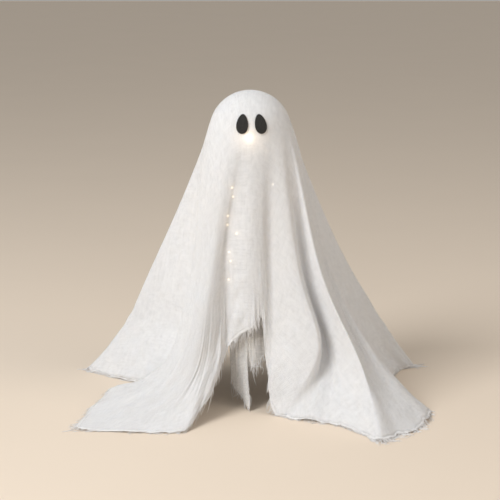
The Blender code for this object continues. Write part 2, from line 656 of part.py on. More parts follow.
def make_base_plate(parent):
    """The plate that closes the head: a flange, a ring inside the skirt, a ring that holds the
    column, and a socket for each leg."""
    top = FLANGE_Z + PLATE_FLANGE
    ring = HEAD_BORE - FIT
    outline = [(0.0, FLANGE_Z), (HEAD_RADIUS, FLANGE_Z), (HEAD_RADIUS, top), (ring, top),
               (ring, top + PLATE_SPIGOT), (ring - SPIGOT_WALL, top + PLATE_SPIGOT),
               (ring - SPIGOT_WALL, top), (0.0, top)]
    plate = place("head_base_plate", turned("head_base_plate", outline, HEAD_SIDES), parent)
    inside = SPIGOT_RADIUS - SPIGOT_WALL
    under = FLANGE_Z + PLATE_FLANGE / 2
    collar = [(SPIGOT_RADIUS, under), (SPIGOT_RADIUS, FLANGE_Z - SPIGOT), (inside, FLANGE_Z - SPIGOT),
              (inside, under)]
    shape_with(plate, turned("collar", collar, COLUMN_SIDES, ring=True), "UNION", parent)
    for turn in LEG_TURNS.values():
        socket = rod("socket", around(turn, LEG_TOP_RADIUS, SOCKET_Z), around(turn, LEG_TOP_RADIUS, under),
                     LEG_WIRE + FIT + LEG_SOCKET_WALL, SCREW_SIDES)
        shape_with(plate, socket, "UNION", parent)
        bore = rod("bore", around(turn, LEG_TOP_RADIUS, SOCKET_Z - FIT),
                   around(turn, LEG_TOP_RADIUS, FLANGE_Z), LEG_WIRE + FIT, SCREW_SIDES)
        shape_with(plate, bore, "DIFFERENCE", parent)
    for turn in PLATE_SCREW_TURNS:
        hole = rod("hole", around(turn, PLATE_SCREW_RING, FLANGE_Z - FIT),
                   around(turn, PLATE_SCREW_RING, top + FIT), SCREW_HOLE, SCREW_SIDES)
        shape_with(plate, hole, "DIFFERENCE", parent)
    hole = rod("lead_hole", (LEAD_X, BOARD_Y - LEAD_BEND / 2, FLANGE_Z - FIT),
               (LEAD_X, BOARD_Y - LEAD_BEND / 2, top + FIT), LEAD_RADIUS + LEAD_BEND / 2, SCREW_SIDES)
    shape_with(plate, hole, "DIFFERENCE", parent)
    return finish(plate, MILK)


def make_plate_screws(parent):
    """The screws that hold the plate, from below through it into the head's bosses."""
    length = PLATE_FLANGE + PLATE_SPIGOT + 2 * FIT + SCREW_REACH
    for i, turn in enumerate(PLATE_SCREW_TURNS, 1):
        seat = around(turn, PLATE_SCREW_RING, FLANGE_Z - FIT)
        screw(f"base_plate_screw_{i}", seat, (0, 0, 1), length, parent)


def make_legs(parent):
    """Four bent wires from the plate's sockets to the feet, and a rubber foot on each."""
    for side, turn in LEG_TURNS.items():
        path = [around(turn, LEG_TOP_RADIUS, FLANGE_Z - FIT),
                around(turn, LEG_TOP_RADIUS, SOCKET_Z - LEG_STRAIGHT),
                around(turn, LEG_FOOT_RADIUS, FOOT_HEIGHT + LEG_STRAIGHT),
                around(turn, LEG_FOOT_RADIUS, FOOT_SOLE + FIT)]
        bends = rounded(path, LEG_STRAIGHT - FIT, BEND_STEPS)
        leg = wire(f"leg_{side}", bends, LEG_WIRE, THICK_WIRE_STEPS, parent)
        finish(leg, STEEL)
        bore = LEG_WIRE + FIT
        outline = [(0.0, 0.0), (FOOT_RADIUS, 0.0), (FOOT_RADIUS, FOOT_HEIGHT - FOOT_SOLE),
                   (FOOT_RADIUS - FOOT_CHAMFER, FOOT_HEIGHT), (bore, FOOT_HEIGHT), (bore, FOOT_SOLE),
                   (0.0, FOOT_SOLE)]
        mesh = turned(f"foot_{side}", outline, FOOT_SIDES)
        mesh.transform(Matrix.Translation(around(turn, LEG_FOOT_RADIUS)))
        finish(place(f"foot_{side}", mesh, parent), RUBBER)


def make_column(parent):
    """The hollow column under the head, with a hole behind where the string of lights comes out."""
    outline = [(COLUMN_RADIUS, HOUSING_TOP + FIT), (COLUMN_RADIUS, COLUMN_TOP),
               (COLUMN_BORE, COLUMN_TOP), (COLUMN_BORE, HOUSING_TOP + FIT)]
    column = place("light_column", turned("light_column", outline, COLUMN_SIDES, ring=True), parent)
    hole = rod("string_hole", around(STRING_START, COLUMN_BORE - COLUMN_WALL, STRING_LOW),
               around(STRING_START, COLUMN_RADIUS + COLUMN_WALL, STRING_LOW), STRING_RADIUS + BORE_FIT,
               SCREW_SIDES)
    shape_with(column, hole, "DIFFERENCE", parent)
    return finish(column, MILK)


def string_place(turns, radius=None):
    """The point on the winding after a number of turns. Its start eases inwards."""
    ease = STRING_EASE * max(0.0, 1.0 - turns / EASE_TURNS)
    return around(STRING_START + 360.0 * turns, (radius or STRING_RING) + ease,
                  STRING_LOW + STRING_PITCH * turns)


def make_light_string(parent):
    """The wire of the micro lights: up from the circuit board, out through the column, round it in
    even turns to its top, and into the anchor there."""
    step = 1.0 / STRING_POINTS
    corner = around(STRING_START, STRING_RING + STRING_EASE, STRING_LOW)
    lead = [Vector((0, BOARD_Y, BOARD_TOP + FIT)), Vector((0, BOARD_Y, STRING_LOW)), corner,
            string_place(step)]
    points = rounded(lead, STRING_BEND, BEND_STEPS)
    winding = [string_place(i * step) for i in range(2, STRING_TURNS * STRING_POINTS + 1)]
    end = winding[-1] + (winding[-1] - winding[-2]).normalized() * 2 * STRING_RADIUS
    points += winding + [end]
    gap = least_gap(points, STRING_RADIUS, STRING_POINTS)
    print("light_string least gap to itself, mm:", round(gap * 1000, 2))
    finish(wire("light_string", points, STRING_RADIUS, THIN_WIRE_STEPS, parent), COPPER)
    along = (end - winding[-1]).normalized()
    outward = Vector((end.x, end.y, 0)).normalized()
    near = end + along * FIT
    middle = near + along * ANCHOR_WIDTH / 2
    middle -= outward * (middle.dot(outward) - COLUMN_RADIUS - FIT - ANCHOR_DEPTH / 2)
    half = Vector((ANCHOR_WIDTH, ANCHOR_DEPTH, ANCHOR_HEIGHT)) / 2
    mesh = block("string_anchor", -half, half, ANCHOR_BEVEL)
    side = outward.cross(Vector((0, 0, 1)))
    if side.dot(along) < 0:
        side = -side
    turn = Matrix((side, outward, side.cross(outward))).transposed().to_4x4()
    mesh.transform(Matrix.Translation(middle) @ turn)
    finish(place("string_anchor", mesh, parent, 0), MILK)


def make_beads(parent):
    """The lights: drops of clear resin on the outer side of the wire, longer along it."""
    for i, turns in enumerate(BEAD_TURNS, 1):
        centre = string_place(turns, BEAD_RING)
        ahead = string_place(turns + 0.5 / STRING_POINTS, BEAD_RING)
        outline = [(BEAD_RADIUS * math.sin(a), -BEAD_STRETCH * BEAD_RADIUS * math.cos(a))
                   for a in (math.pi * k / BEAD_STEPS for k in range(BEAD_STEPS + 1))]
        mesh = turned(f"led_bead_{i:02d}", outline, BEAD_SIDES)
        turn = Vector((0, 0, 1)).rotation_difference(ahead - centre)
        mesh.transform(Matrix.Translation(centre) @ turn.to_matrix().to_4x4())
        finish(place(f"led_bead_{i:02d}", mesh, parent, CLOTH_SMOOTH), BEAD)


def make_lamp(parent):
    """The brighter lamp behind the face, on a post from the plate, and its lead down the column."""
    floor = FLANGE_Z + PLATE_FLANGE + FIT
    foot = around(LAMP_TURN, LAMP_REACH, floor)
    crown = around(LAMP_TURN, LAMP_REACH, LAMP_Z - LAMP_RADIUS - FIT)
    finish(place("lamp_post", rod("lamp_post", foot, crown, LAMP_POST_RADIUS, SCREW_SIDES), parent), MILK)
    outline = [(LAMP_RADIUS * math.sin(a), -LAMP_RADIUS * math.cos(a))
               for a in (math.pi * k / BEAD_STEPS for k in range(BEAD_STEPS + 1))]
    mesh = turned("head_lamp", outline, SCREW_SIDES)
    mesh.transform(Matrix.Translation(around(LAMP_TURN, LAMP_REACH, LAMP_Z)))
    finish(place("head_lamp", mesh, parent, CLOTH_SMOOTH), LAMP)
    lie = floor + LEAD_RADIUS
    path = [around(LAMP_TURN, LAMP_REACH - LAMP_POST_RADIUS - FIT, lie), Vector((LEAD_X, BOARD_Y, lie)),
            Vector((LEAD_X, BOARD_Y, BOARD_TOP + FIT))]
    lead = wire("lamp_lead", rounded(path, LEAD_BEND, BEND_STEPS), LEAD_RADIUS, THIN_WIRE_STEPS, parent)
    finish(lead, COPPER)


def make_housing(parent):
    """The battery housing: a cup that opens downwards, its ring in the column, the boss for the
    door's screw, the rails of the circuit board, the switch's slot and the fixed hinge knuckles."""
    inside = SPIGOT_RADIUS - SPIGOT_WALL
    outline = [(0.0, HOUSING_TOP), (inside, HOUSING_TOP), (inside, HOUSING_TOP + SPIGOT),
               (SPIGOT_RADIUS, HOUSING_TOP + SPIGOT), (SPIGOT_RADIUS, HOUSING_TOP),
               (HOUSING_RADIUS, HOUSING_TOP), (HOUSING_RADIUS, HOUSING_LOW), (HOUSING_BORE, HOUSING_LOW),
               (HOUSING_BORE, CEILING_Z), (0.0, CEILING_Z)]
    housing = place("battery_housing", turned("battery_housing", outline, COLUMN_SIDES), parent)
    boss = rod("boss", (0, DOOR_SCREW_Y, HOUSING_LOW), (0, DOOR_SCREW_Y, HOUSING_LOW + BOSS_DEPTH),
               BOSS_RADIUS, SCREW_SIDES)
    shape_with(housing, boss, "UNION", parent)
    bore = rod("bore", (0, DOOR_SCREW_Y, HOUSING_LOW - FIT),
               (0, DOOR_SCREW_Y, HOUSING_LOW + DOOR_SCREW_REACH + BORE_FIT), SCREW_HOLE, SCREW_SIDES)
    shape_with(housing, bore, "DIFFERENCE", parent)
    half = BOARD_WIDTH / 2
    wall_y = math.sqrt(HOUSING_BORE ** 2 - (half + RAIL_WALL) ** 2)
    for side in (-1, 1):
        ends = sorted((side * (half - RAIL_GRIP), side * (half + RAIL_WALL)))
        rail = block("rail", (ends[0], BOARD_Y - RAIL_DEPTH / 2, BOARD_LOW),
                     (ends[1], wall_y + RAIL_BITE, BOARD_TOP + RAIL_GRIP))
        shape_with(housing, rail, "UNION", parent)
        knuckle_x = side * (KNUCKLE_LENGTH + FIT)
        low, high = knuckle_x - KNUCKLE_LENGTH / 2, knuckle_x + KNUCKLE_LENGTH / 2
        web = block("web", (low, HOUSING_BORE, HOUSING_LOW), (high, HINGE_Y, HINGE_Z + KNUCKLE_RADIUS))
        shape_with(housing, web, "UNION", parent)
        knuckle = rod("knuckle", (low, HINGE_Y, HINGE_Z), (high, HINGE_Y, HINGE_Z), KNUCKLE_RADIUS,
                      KNUCKLE_SIDES)
        shape_with(housing, knuckle, "UNION", parent)
    slot = block("board_slot", (-half - FIT, BOARD_Y - BOARD_THICKNESS / 2 - FIT, BOARD_LOW - FIT),
                 (half + FIT, BOARD_Y + BOARD_THICKNESS / 2 + FIT, BOARD_TOP + FIT))
    shape_with(housing, slot, "DIFFERENCE", parent)
    reach = KNUCKLE_LENGTH * 2
    pin_bore = rod("pin_bore", (-reach, HINGE_Y, HINGE_Z), (reach, HINGE_Y, HINGE_Z), PIN_RADIUS + FIT,
                   SCREW_SIDES)
    shape_with(housing, pin_bore, "DIFFERENCE", parent)
    stem_top = STEM_LOW + STEM_HEIGHT + SWITCH_TRAVEL
    slot = block("switch_slot", (-STEM_WIDTH / 2 - FIT, HOUSING_BORE - HOUSING_WALL, STEM_LOW - FIT),
                 (STEM_WIDTH / 2 + FIT, HOUSING_RADIUS + HOUSING_WALL, stem_top + FIT))
    shape_with(housing, slot, "DIFFERENCE", parent)
    for x, radius in ((0.0, STRING_RADIUS), (LEAD_X, LEAD_RADIUS)):
        hole = rod("wire_hole", (x, BOARD_Y, CEILING_Z - FIT), (x, BOARD_Y, HOUSING_TOP + FIT),
                   radius + FIT, SCREW_SIDES)
        shape_with(housing, hole, "DIFFERENCE", parent)
    return finish(housing, MILK)


def make_door(parent):
    """The battery door, its contact plate and its captive screw, all on the hinge axis."""
    hinge = bpy.data.objects.new("door_hinge", None)
    hinge.location = (0.0, HINGE_Y, HINGE_Z)
    bpy.context.scene.collection.objects.link(hinge)
    hinge.parent = parent
    to_hinge = Matrix.Translation((0.0, -HINGE_Y, -HINGE_Z))
    outline = [(0.0, DOOR_LOW), (HOUSING_RADIUS, DOOR_LOW), (HOUSING_RADIUS, DOOR_TOP),
               (DOOR_PAD_RADIUS, DOOR_TOP), (DOOR_PAD_RADIUS, DOOR_TOP + DOOR_PAD),
               (0.0, DOOR_TOP + DOOR_PAD)]
    mesh = turned("battery_door", outline, COLUMN_SIDES)
    mesh.transform(to_hinge)
    door = place("battery_door", mesh, hinge)
    half = KNUCKLE_LENGTH / 2
    arm = block("arm", (-half, HOUSING_BORE, DOOR_LOW), (half, HINGE_Y, DOOR_TOP))
    knuckle = rod("knuckle", (-half, HINGE_Y, HINGE_Z), (half, HINGE_Y, HINGE_Z), KNUCKLE_RADIUS,
                  KNUCKLE_SIDES)
    bore = rod("pin_bore", (-2 * half, HINGE_Y, HINGE_Z), (2 * half, HINGE_Y, HINGE_Z), PIN_RADIUS + FIT,
               SCREW_SIDES)
    under = Vector((0, DOOR_SCREW_Y, DOOR_LOW - FIT))
    hole = rod("screw_hole", under, (0, DOOR_SCREW_Y, DOOR_TOP + FIT), SCREW_HOLE, SCREW_SIDES)
    sink = rod("screw_sink", under, (0, DOOR_SCREW_Y, DOOR_LOW + SCREW_HEAD), SCREW_HEAD_RADIUS + BORE_FIT,
               SCREW_SIDES)
    for mesh, operation in ((arm, "UNION"), (knuckle, "UNION"), (bore, "DIFFERENCE"), (hole, "DIFFERENCE"),
                            (sink, "DIFFERENCE")):
        mesh.transform(to_hinge)
        shape_with(door, mesh, operation, hinge)
    finish(door, MILK)
    low = DOOR_TOP + DOOR_PAD + FIT
    mesh = turned("contact_door", [(0.0, low), (CONTACT_RADIUS, low), (CONTACT_RADIUS, low + CONTACT),
                                   (0.0, low + CONTACT)], COLUMN_SIDES)
    mesh.transform(to_hinge)
    finish(place("contact_door", mesh, hinge), NICKEL)
    seat = Vector((0, DOOR_SCREW_Y - HINGE_Y, DOOR_LOW + SCREW_HEAD - FIT - HINGE_Z))
    length = DOOR_THICKNESS - SCREW_HEAD + 2 * FIT + DOOR_SCREW_REACH
    screw("door_screw", seat, (0, 0, 1), length, hinge)
    reach = KNUCKLE_LENGTH * 1.5 + FIT
    pin = rod("hinge_pin", (-reach, HINGE_Y, HINGE_Z), (reach, HINGE_Y, HINGE_Z), PIN_RADIUS, SCREW_SIDES)
    finish(place("hinge_pin", pin, parent), STEEL)


def make_cells(parent):
    """Three cells side by side, the plate over them, and a spring on each."""
    outline = [(0.0, CELL_LOW), (CELL_RADIUS - FIT, CELL_LOW), (CELL_RADIUS, CELL_LOW + FIT),
               (CELL_RADIUS, CELL_TOP - CELL_NUB), (CELL_NUB_RADIUS, CELL_TOP - CELL_NUB),
               (CELL_NUB_RADIUS, CELL_TOP), (0.0, CELL_TOP)]
    high = CONTACT_TOP_Z + CONTACT
    disc = [(0.0, CONTACT_TOP_Z), (CONTACT_RADIUS, CONTACT_TOP_Z), (CONTACT_RADIUS, high), (0.0, high)]
    finish(place("contact_top", turned("contact_top", disc, COLUMN_SIDES), parent), NICKEL)
    straight = 2 * SPRING_WIRE
    pitch = (SPRING_HEIGHT - 2 * straight) / SPRING_CURLS
    for i in range(CELLS):
        centre = around(360.0 * i / CELLS, CELL_RING)
        mesh = turned(f"battery_cell_{i + 1}", outline, CELL_SIDES)
        mesh.transform(Matrix.Translation(centre))
        finish(place(f"battery_cell_{i + 1}", mesh, parent), CELL)
        low = SPRING_TOP - SPRING_HEIGHT
        shares = [k / SPRING_POINTS for k in range(SPRING_CURLS * SPRING_POINTS + 1)]
        coil = [centre + around(360.0 * share, SPRING_RADIUS, low + straight + pitch * share)
                for share in shares]
        points = [coil[0] - Vector((0, 0, straight))] + coil + [coil[-1] + Vector((0, 0, straight))]
        if i == 0:
            print("contact spring least gap to itself, mm:",
                  round(least_gap(points, SPRING_WIRE, SPRING_POINTS) * 1000, 2))
        finish(wire(f"contact_spring_{i + 1}", points, SPRING_WIRE, THIN_WIRE_STEPS, parent), NICKEL)


def make_board_and_switch(parent):
    """The circuit board in its rails, the switch on its back, and the slider through the slot."""
    half = BOARD_THICKNESS / 2
    board = block("circuit_board", (-BOARD_WIDTH / 2, BOARD_Y - half, BOARD_LOW),
                  (BOARD_WIDTH / 2, BOARD_Y + half, BOARD_TOP))
    finish(place("circuit_board", board, parent, 0), BOARD_GREEN)
    low_y = BOARD_Y + half + FIT
    body = block("switch_body", (-SWITCH_WIDTH / 2, low_y, SWITCH_Z - SWITCH_HEIGHT / 2),
                 (SWITCH_WIDTH / 2, SWITCH_FACE, SWITCH_Z + SWITCH_HEIGHT / 2), FIT)
    finish(place("switch_body", body, parent, 0), STEEL)
    guide = bpy.data.objects.new("switch_guide", None)
    guide.location = (0.0, SWITCH_FACE, STEM_LOW)
    bpy.context.scene.collection.objects.link(guide)
    guide.parent = parent
    outer = HOUSING_RADIUS + FIT - SWITCH_FACE
    stem = block("switch_slider", (-STEM_WIDTH / 2, FIT, 0),
                 (STEM_WIDTH / 2, outer + THUMB_DEPTH / 2, STEM_HEIGHT))
    slider = place("switch_slider", stem, guide, 0)
    rise = (THUMB_HEIGHT - STEM_HEIGHT) / 2
    thumb = block("thumb", (-THUMB_WIDTH / 2, outer, -rise),
                  (THUMB_WIDTH / 2, outer + THUMB_DEPTH, STEM_HEIGHT + rise), FIT)
    shape_with(slider, thumb, "UNION", guide)
    finish(slider, BLACK)


def build():
    """Makes every piece under one empty on the head's axis."""
    clear_scene()
    parent = bpy.data.objects.new("figure_origin", None)
    parent.location = (AXIS_X, AXIS_Y, 0.0)
    bpy.context.scene.collection.objects.link(parent)
    make_drape(parent)
    make_under_cloth(parent)
    make_eye("eye_left", EYE_LEFT_TURN, 0.0, parent)
    make_eye("eye_right", EYE_RIGHT_TURN, EYE_RIGHT_LEAN, parent)
    make_head(parent)
    make_base_plate(parent)
    make_plate_screws(parent)
    make_legs(parent)
    make_column(parent)
    make_light_string(parent)
    make_beads(parent)
    make_lamp(parent)
    make_housing(parent)
    make_door(parent)
    make_cells(parent)
    make_board_and_switch(parent)
    bpy.context.view_layer.update()


build()
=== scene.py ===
"""Looks of the lighted ghost figure: gauze, felt, moulded shells, wires and small lights.

Laid out as an add-on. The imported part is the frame, and every piece is made round it, in metres,
+Z up, the face towards -Y.
"""

import math

import bpy
import numpy as np
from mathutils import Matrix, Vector


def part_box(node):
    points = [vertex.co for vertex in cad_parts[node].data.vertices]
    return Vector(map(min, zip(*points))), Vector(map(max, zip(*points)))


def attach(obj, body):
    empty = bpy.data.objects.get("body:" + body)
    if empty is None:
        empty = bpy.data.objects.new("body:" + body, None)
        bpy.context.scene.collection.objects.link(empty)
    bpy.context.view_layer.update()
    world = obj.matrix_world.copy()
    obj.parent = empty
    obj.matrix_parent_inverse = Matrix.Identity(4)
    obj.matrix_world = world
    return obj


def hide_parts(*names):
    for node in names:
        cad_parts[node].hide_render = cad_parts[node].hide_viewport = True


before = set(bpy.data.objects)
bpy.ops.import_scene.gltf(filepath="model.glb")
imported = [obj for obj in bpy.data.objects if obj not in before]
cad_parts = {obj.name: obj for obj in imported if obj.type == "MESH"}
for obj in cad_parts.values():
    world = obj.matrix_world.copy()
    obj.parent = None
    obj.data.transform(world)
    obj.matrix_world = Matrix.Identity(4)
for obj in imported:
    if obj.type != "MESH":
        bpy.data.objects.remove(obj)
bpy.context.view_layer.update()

bl_info = {
    "name": "Lighted Ghost Figure",
    "version": (1, 0, 0),
    "blender": (4, 5, 0),
    "location": "View3D > Sidebar > Ghost",
    "description": "Dresses a lighted gauze ghost: cloth, hems, felt eyes, lights, shells and stage",
    "category": "Object",
}

# Places and sizes that the solids have too
AXIS = np.array([-0.005, 0.016, 0.0])
HEAD_Z = 0.3462
CLOTH_RADIUS = 0.0520
CLOTH_FLOOR = 0.0018
UNDER_RADIUS = 0.0488
UNDER_TOP = HEAD_Z - 0.0348
LEG_TURNS = (-50.0, 50.0, 130.0, 230.0)
LEG_TOP = (0.0385, HEAD_Z - 0.0525)      # radius and height of a leg's upper bend
LEG_LOW = (0.1150, 0.0160)               # and of its lower one
LEG_LIFT = 0.0060
LEG_SPREAD = 8.0
EYE_SIZE = (0.0145, 0.0247)
EYE_THICKNESS = 0.0012
EYE_LIFT = 0.0006
EYE_TAPER = 0.16
EYE_UP_TURN = 17.05
EYES = {"eye_left": (-11.5, 0.0), "eye_right": (14.4, 7.0)}   # turn and lean

# Main folds of the cloth, right round from the middle of the front: the turn on the head in
# degrees, the slope at which the fold leaves the head, then its knee, toe and hem from the axis.
FOLDS = (
    ("front_middle", 0, 86, (-0.002, -0.059, 0.215), (-0.002, -0.060, 0.150), (0.000, -0.062, 0.107)),
    ("column_right", 14, 85, (0.014, -0.058, 0.210), (0.015, -0.060, 0.155), (0.014, -0.061, 0.120)),
    ("slot_right", 28, 82, (0.025, -0.051, 0.200), (0.028, -0.056, 0.120), (0.023, -0.070, 0.052)),
    ("flap_ridge", 41, 76, (0.061, -0.062, 0.172), (0.083, -0.086, 0.078), (0.030, -0.090, 0.002)),
    ("flap_back", 50, 72, (0.066, -0.042, 0.175), (0.090, -0.062, 0.072), (0.072, -0.116, 0.002)),
    ("train_valley", 57, 70, (0.078, -0.044, 0.165), (0.106, -0.070, 0.066), (0.112, -0.137, 0.002)),
    ("front_right_ridge", 64, 68, (0.095, -0.066, 0.158), (0.138, -0.118, 0.068), (0.155, -0.197, 0.002)),
    ("front_right_crease", 77, 69, (0.100, -0.030, 0.160), (0.143, -0.070, 0.066), (0.201, -0.153, 0.002)),
    ("right_ridge", 87, 68, (0.110, -0.022, 0.150), (0.162, -0.054, 0.066), (0.226, -0.075, 0.002)),
    ("right_valley", 97, 68, (0.103, 0.004, 0.155), (0.136, 0.008, 0.070), (0.176, 0.028, 0.003)),
    ("right_band", 107, 67, (0.118, 0.042, 0.155), (0.168, 0.084, 0.062), (0.202, 0.114, 0.003)),
    ("rear_right_ridge", 119, 67, (0.132, 0.082, 0.152), (0.186, 0.120, 0.060), (0.227, 0.140, 0.003)),
    ("rear_right_valley", 138, 68, (0.086, 0.096, 0.150), (0.116, 0.130, 0.064), (0.138, 0.156, 0.003)),
    ("rear_fold_right", 158, 69, (0.046, 0.114, 0.156), (0.062, 0.146, 0.066), (0.070, 0.165, 0.006)),
    ("rear_middle", 181, 75, (0.002, 0.086, 0.165), (0.000, 0.098, 0.115), (-0.002, 0.108, 0.072)),
    ("rear_fold_left", 204, 69, (-0.050, 0.112, 0.156), (-0.068, 0.142, 0.066), (-0.078, 0.160, 0.006)),
    ("rear_left_valley", 222, 68, (-0.088, 0.094, 0.150), (-0.116, 0.124, 0.064), (-0.138, 0.148, 0.003)),
    ("rear_left_ridge", 241, 67, (-0.133, 0.078, 0.150), (-0.165, 0.099, 0.079), (-0.221, 0.122, 0.003)),
    ("left_panel", 256, 68, (-0.104, 0.044, 0.150), (-0.134, 0.066, 0.062), (-0.166, 0.066, 0.003)),
    ("left_tuck", 268, 70, (-0.072, 0.004, 0.150), (-0.084, 0.014, 0.070), (-0.128, 0.046, 0.003)),
    ("left_ridge", 282, 71, (-0.080, -0.025, 0.148), (-0.108, -0.034, 0.054), (-0.176, 0.026, 0.005)),
    ("front_left_slope", 295, 71, (-0.073, -0.044, 0.150), (-0.106, -0.066, 0.054), (-0.199, -0.072, 0.004)),
    ("front_left_ridge", 309, 72, (-0.066, -0.056, 0.150), (-0.098, -0.092, 0.052), (-0.208, -0.149, 0.002)),
    ("front_left_train", 324, 74, (-0.054, -0.062, 0.155), (-0.072, -0.096, 0.056), (-0.140, -0.163, 0.002)),
    ("lifted_edge", 333, 77, (-0.046, -0.060, 0.165), (-0.055, -0.084, 0.066), (-0.080, -0.160, 0.003)),
    ("front_left_edge", 342, 80, (-0.038, -0.054, 0.175), (-0.040, -0.066, 0.088), (-0.049, -0.104, 0.032)),
    ("left_valley", 350, 83, (-0.030, -0.048, 0.190), (-0.031, -0.049, 0.130), (-0.031, -0.054, 0.079)),
)

# Lines of the under cloth, left to right: the turn at its top edge, then its knee, toe and hem.
UNDER_LINES = (
    (-33, (-0.027, -0.041, 0.120), (-0.026, -0.040, 0.070), (-0.025, -0.040, 0.030)),
    (-25, (-0.021, -0.044, 0.120), (-0.020, -0.044, 0.066), (-0.019, -0.044, 0.020)),
    (-17, (-0.015, -0.047, 0.120), (-0.014, -0.047, 0.062), (-0.011, -0.051, 0.012)),
    (-9, (-0.008, -0.048, 0.120), (-0.008, -0.049, 0.058), (-0.001, -0.072, 0.002)),
    (-3, (-0.003, -0.049, 0.120), (-0.003, -0.049, 0.085), (-0.003, -0.050, 0.046)),
    (5, (0.004, -0.049, 0.120), (0.004, -0.049, 0.085), (0.005, -0.050, 0.052)),
    (13, (0.011, -0.048, 0.120), (0.011, -0.048, 0.088), (0.012, -0.049, 0.060)),
    (22, (0.018, -0.046, 0.120), (0.018, -0.046, 0.092), (0.019, -0.047, 0.066)),
)


def colour_of(name, description, default):
    """A colour that a user may change."""
    return bpy.props.FloatVectorProperty(name=name, description=description, subtype="COLOR", size=3,
                                         min=0.0, max=1.0, default=default)


def length_of(name, description, low, high, default):
    """A length that a user may change, in metres."""
    return bpy.props.FloatProperty(name=name, description=description, unit="LENGTH",
                                   min=low, max=high, default=default)


class ClothSizes(bpy.types.PropertyGroup):
    """The gauze: its threads, folds and raw hem."""
    colour: colour_of("Gauze", "Colour of the outer cloth", (0.88, 0.875, 0.875))
    thin_colour: colour_of("Under gauze", "Colour of the open ply behind the front hem",
                           (0.86, 0.84, 0.81))
    thickness: length_of("Thickness", "Thickness of the gauze", 0.0002, 0.002, 0.0007)
    pitch: length_of("Thread spacing", "From one thread to the next", 0.0005, 0.004, 0.0013)
    crispness: bpy.props.FloatProperty(
        name="Crispness", description="How sharply a fold turns at its ridge", subtype="FACTOR",
        min=0.0, max=1.0, default=0.50)
    pleat: length_of("Pleats", "Depth of the soft folds between the main ones, at the front",
                     0.0, 0.01, 0.0026)
    gather: length_of("Gathers", "Depth of the gathers behind, where the spare cloth lies",
                      0.0, 0.01, 0.0074)
    wrinkle: length_of("Wrinkles", "Depth of the crumples near the floor", 0.0, 0.01, 0.0016)
    fray: length_of("Fray", "Usual length of a loose thread at the hem", 0.0, 0.03, 0.0065)
    thread_radius: length_of("Thread radius", "Radius of a loose thread", 0.0001, 0.001, 0.00030)
    seed: bpy.props.IntProperty(
        name="Seed", description="Changes the wrinkles and loose threads", min=0, default=7)


class FeltSizes(bpy.types.PropertyGroup):
    """The felt eyes."""
    colour: colour_of("Felt", "Colour of the eyes", (0.022, 0.021, 0.020))
    pile: length_of("Pile", "Depth of the felt's uneven face", 0.0, 0.0005, 0.00010)


class LightSizes(bpy.types.PropertyGroup):
    """The lamp in the head and the small lights on the column."""
    colour: colour_of("Light", "Colour of the lights", (1.0, 0.72, 0.40))
    bead: bpy.props.FloatProperty(
        name="Small lights", description="Brightness of the small lights", min=0.0, default=4.0)
    # halo and glow size the lamp's glow that is painted as emission into the cloth and the head shell
    halo: bpy.props.FloatProperty(
        name="Halo", description="How far the lamp's glow reaches on the cloth", unit="LENGTH",
        min=0.001, default=0.036)
    glow: bpy.props.FloatProperty(
        name="Glow", description="Brightness of the lamp's glow on the cloth", min=0.0, default=0.42)


class ShellColours(bpy.types.PropertyGroup):
    """The moulded, metal and rubber pieces."""
    milk: colour_of("Shell", "Colour of the moulded shells", (0.83, 0.84, 0.85))
    steel: colour_of("Steel", "Colour of wires and screws", (0.62, 0.62, 0.63))
    board: colour_of("Circuit board", "Colour of the circuit board", (0.05, 0.25, 0.12))
    jacket: colour_of("Cell jacket", "Colour of the cells' jackets", (0.10, 0.11, 0.12))


class StageSizes(bpy.types.PropertyGroup):
    """Floor, lamps and camera."""
    floor: colour_of("Floor", "Colour of the floor", (0.76, 0.655, 0.54))
    key: bpy.props.FloatProperty(
        name="Key lamp", description="Power of the large soft lamp", unit="POWER",
        min=0.0, default=70.0)
    fill: bpy.props.FloatProperty(
        name="Fill", description="Strength of the light from all round", min=0.0, default=0.44)
    aim: bpy.props.FloatVectorProperty(
        name="Aim", description="Point that the camera looks at", subtype="TRANSLATION", size=3,
        unit="LENGTH", default=(-0.0055, 0.016, 0.193))
    distance: bpy.props.FloatProperty(
        name="Distance", description="From the camera to its aim", unit="LENGTH",
        min=0.5, default=2.2)
    rise: bpy.props.FloatProperty(
        name="Rise", description="Angle of the camera over the floor", subtype="ANGLE",
        default=math.radians(11.5))
    lens: bpy.props.FloatProperty(
        name="Lens", description="Focal length in millimetres", min=10.0, default=123.75)


# Shapes

def hermite(start, end, slope_start, slope_end, t):
    """The cubic between two values with given slopes."""
    t2, t3 = t * t, t * t * t
    return ((2 * t3 - 3 * t2 + 1) * start + (t3 - 2 * t2 + t) * slope_start
            + (3 * t2 - 2 * t3) * end + (t3 - t2) * slope_end)


def through(values, at, closed, crispness=0.0):
    """Values at fractional places along a row: a cubic whose slopes come from the neighbours,
    drawn towards straight lines between the places by crispness."""
    count = len(values)
    first = np.floor(at).astype(int)
    if not closed:
        first = np.minimum(first, count - 2)
    t = (at - first)[:, None]
    places = [first + step for step in (-1, 0, 1, 2)]
    places = [p % count if closed else np.clip(p, 0, count - 1) for p in places]
    before, start, end, after = (values[p] for p in places)
    curve = hermite(start, end, (end - before) / 2, (after - start) / 2, t)
    return curve * (1 - crispness) + (start * (1 - t) + end * t) * crispness


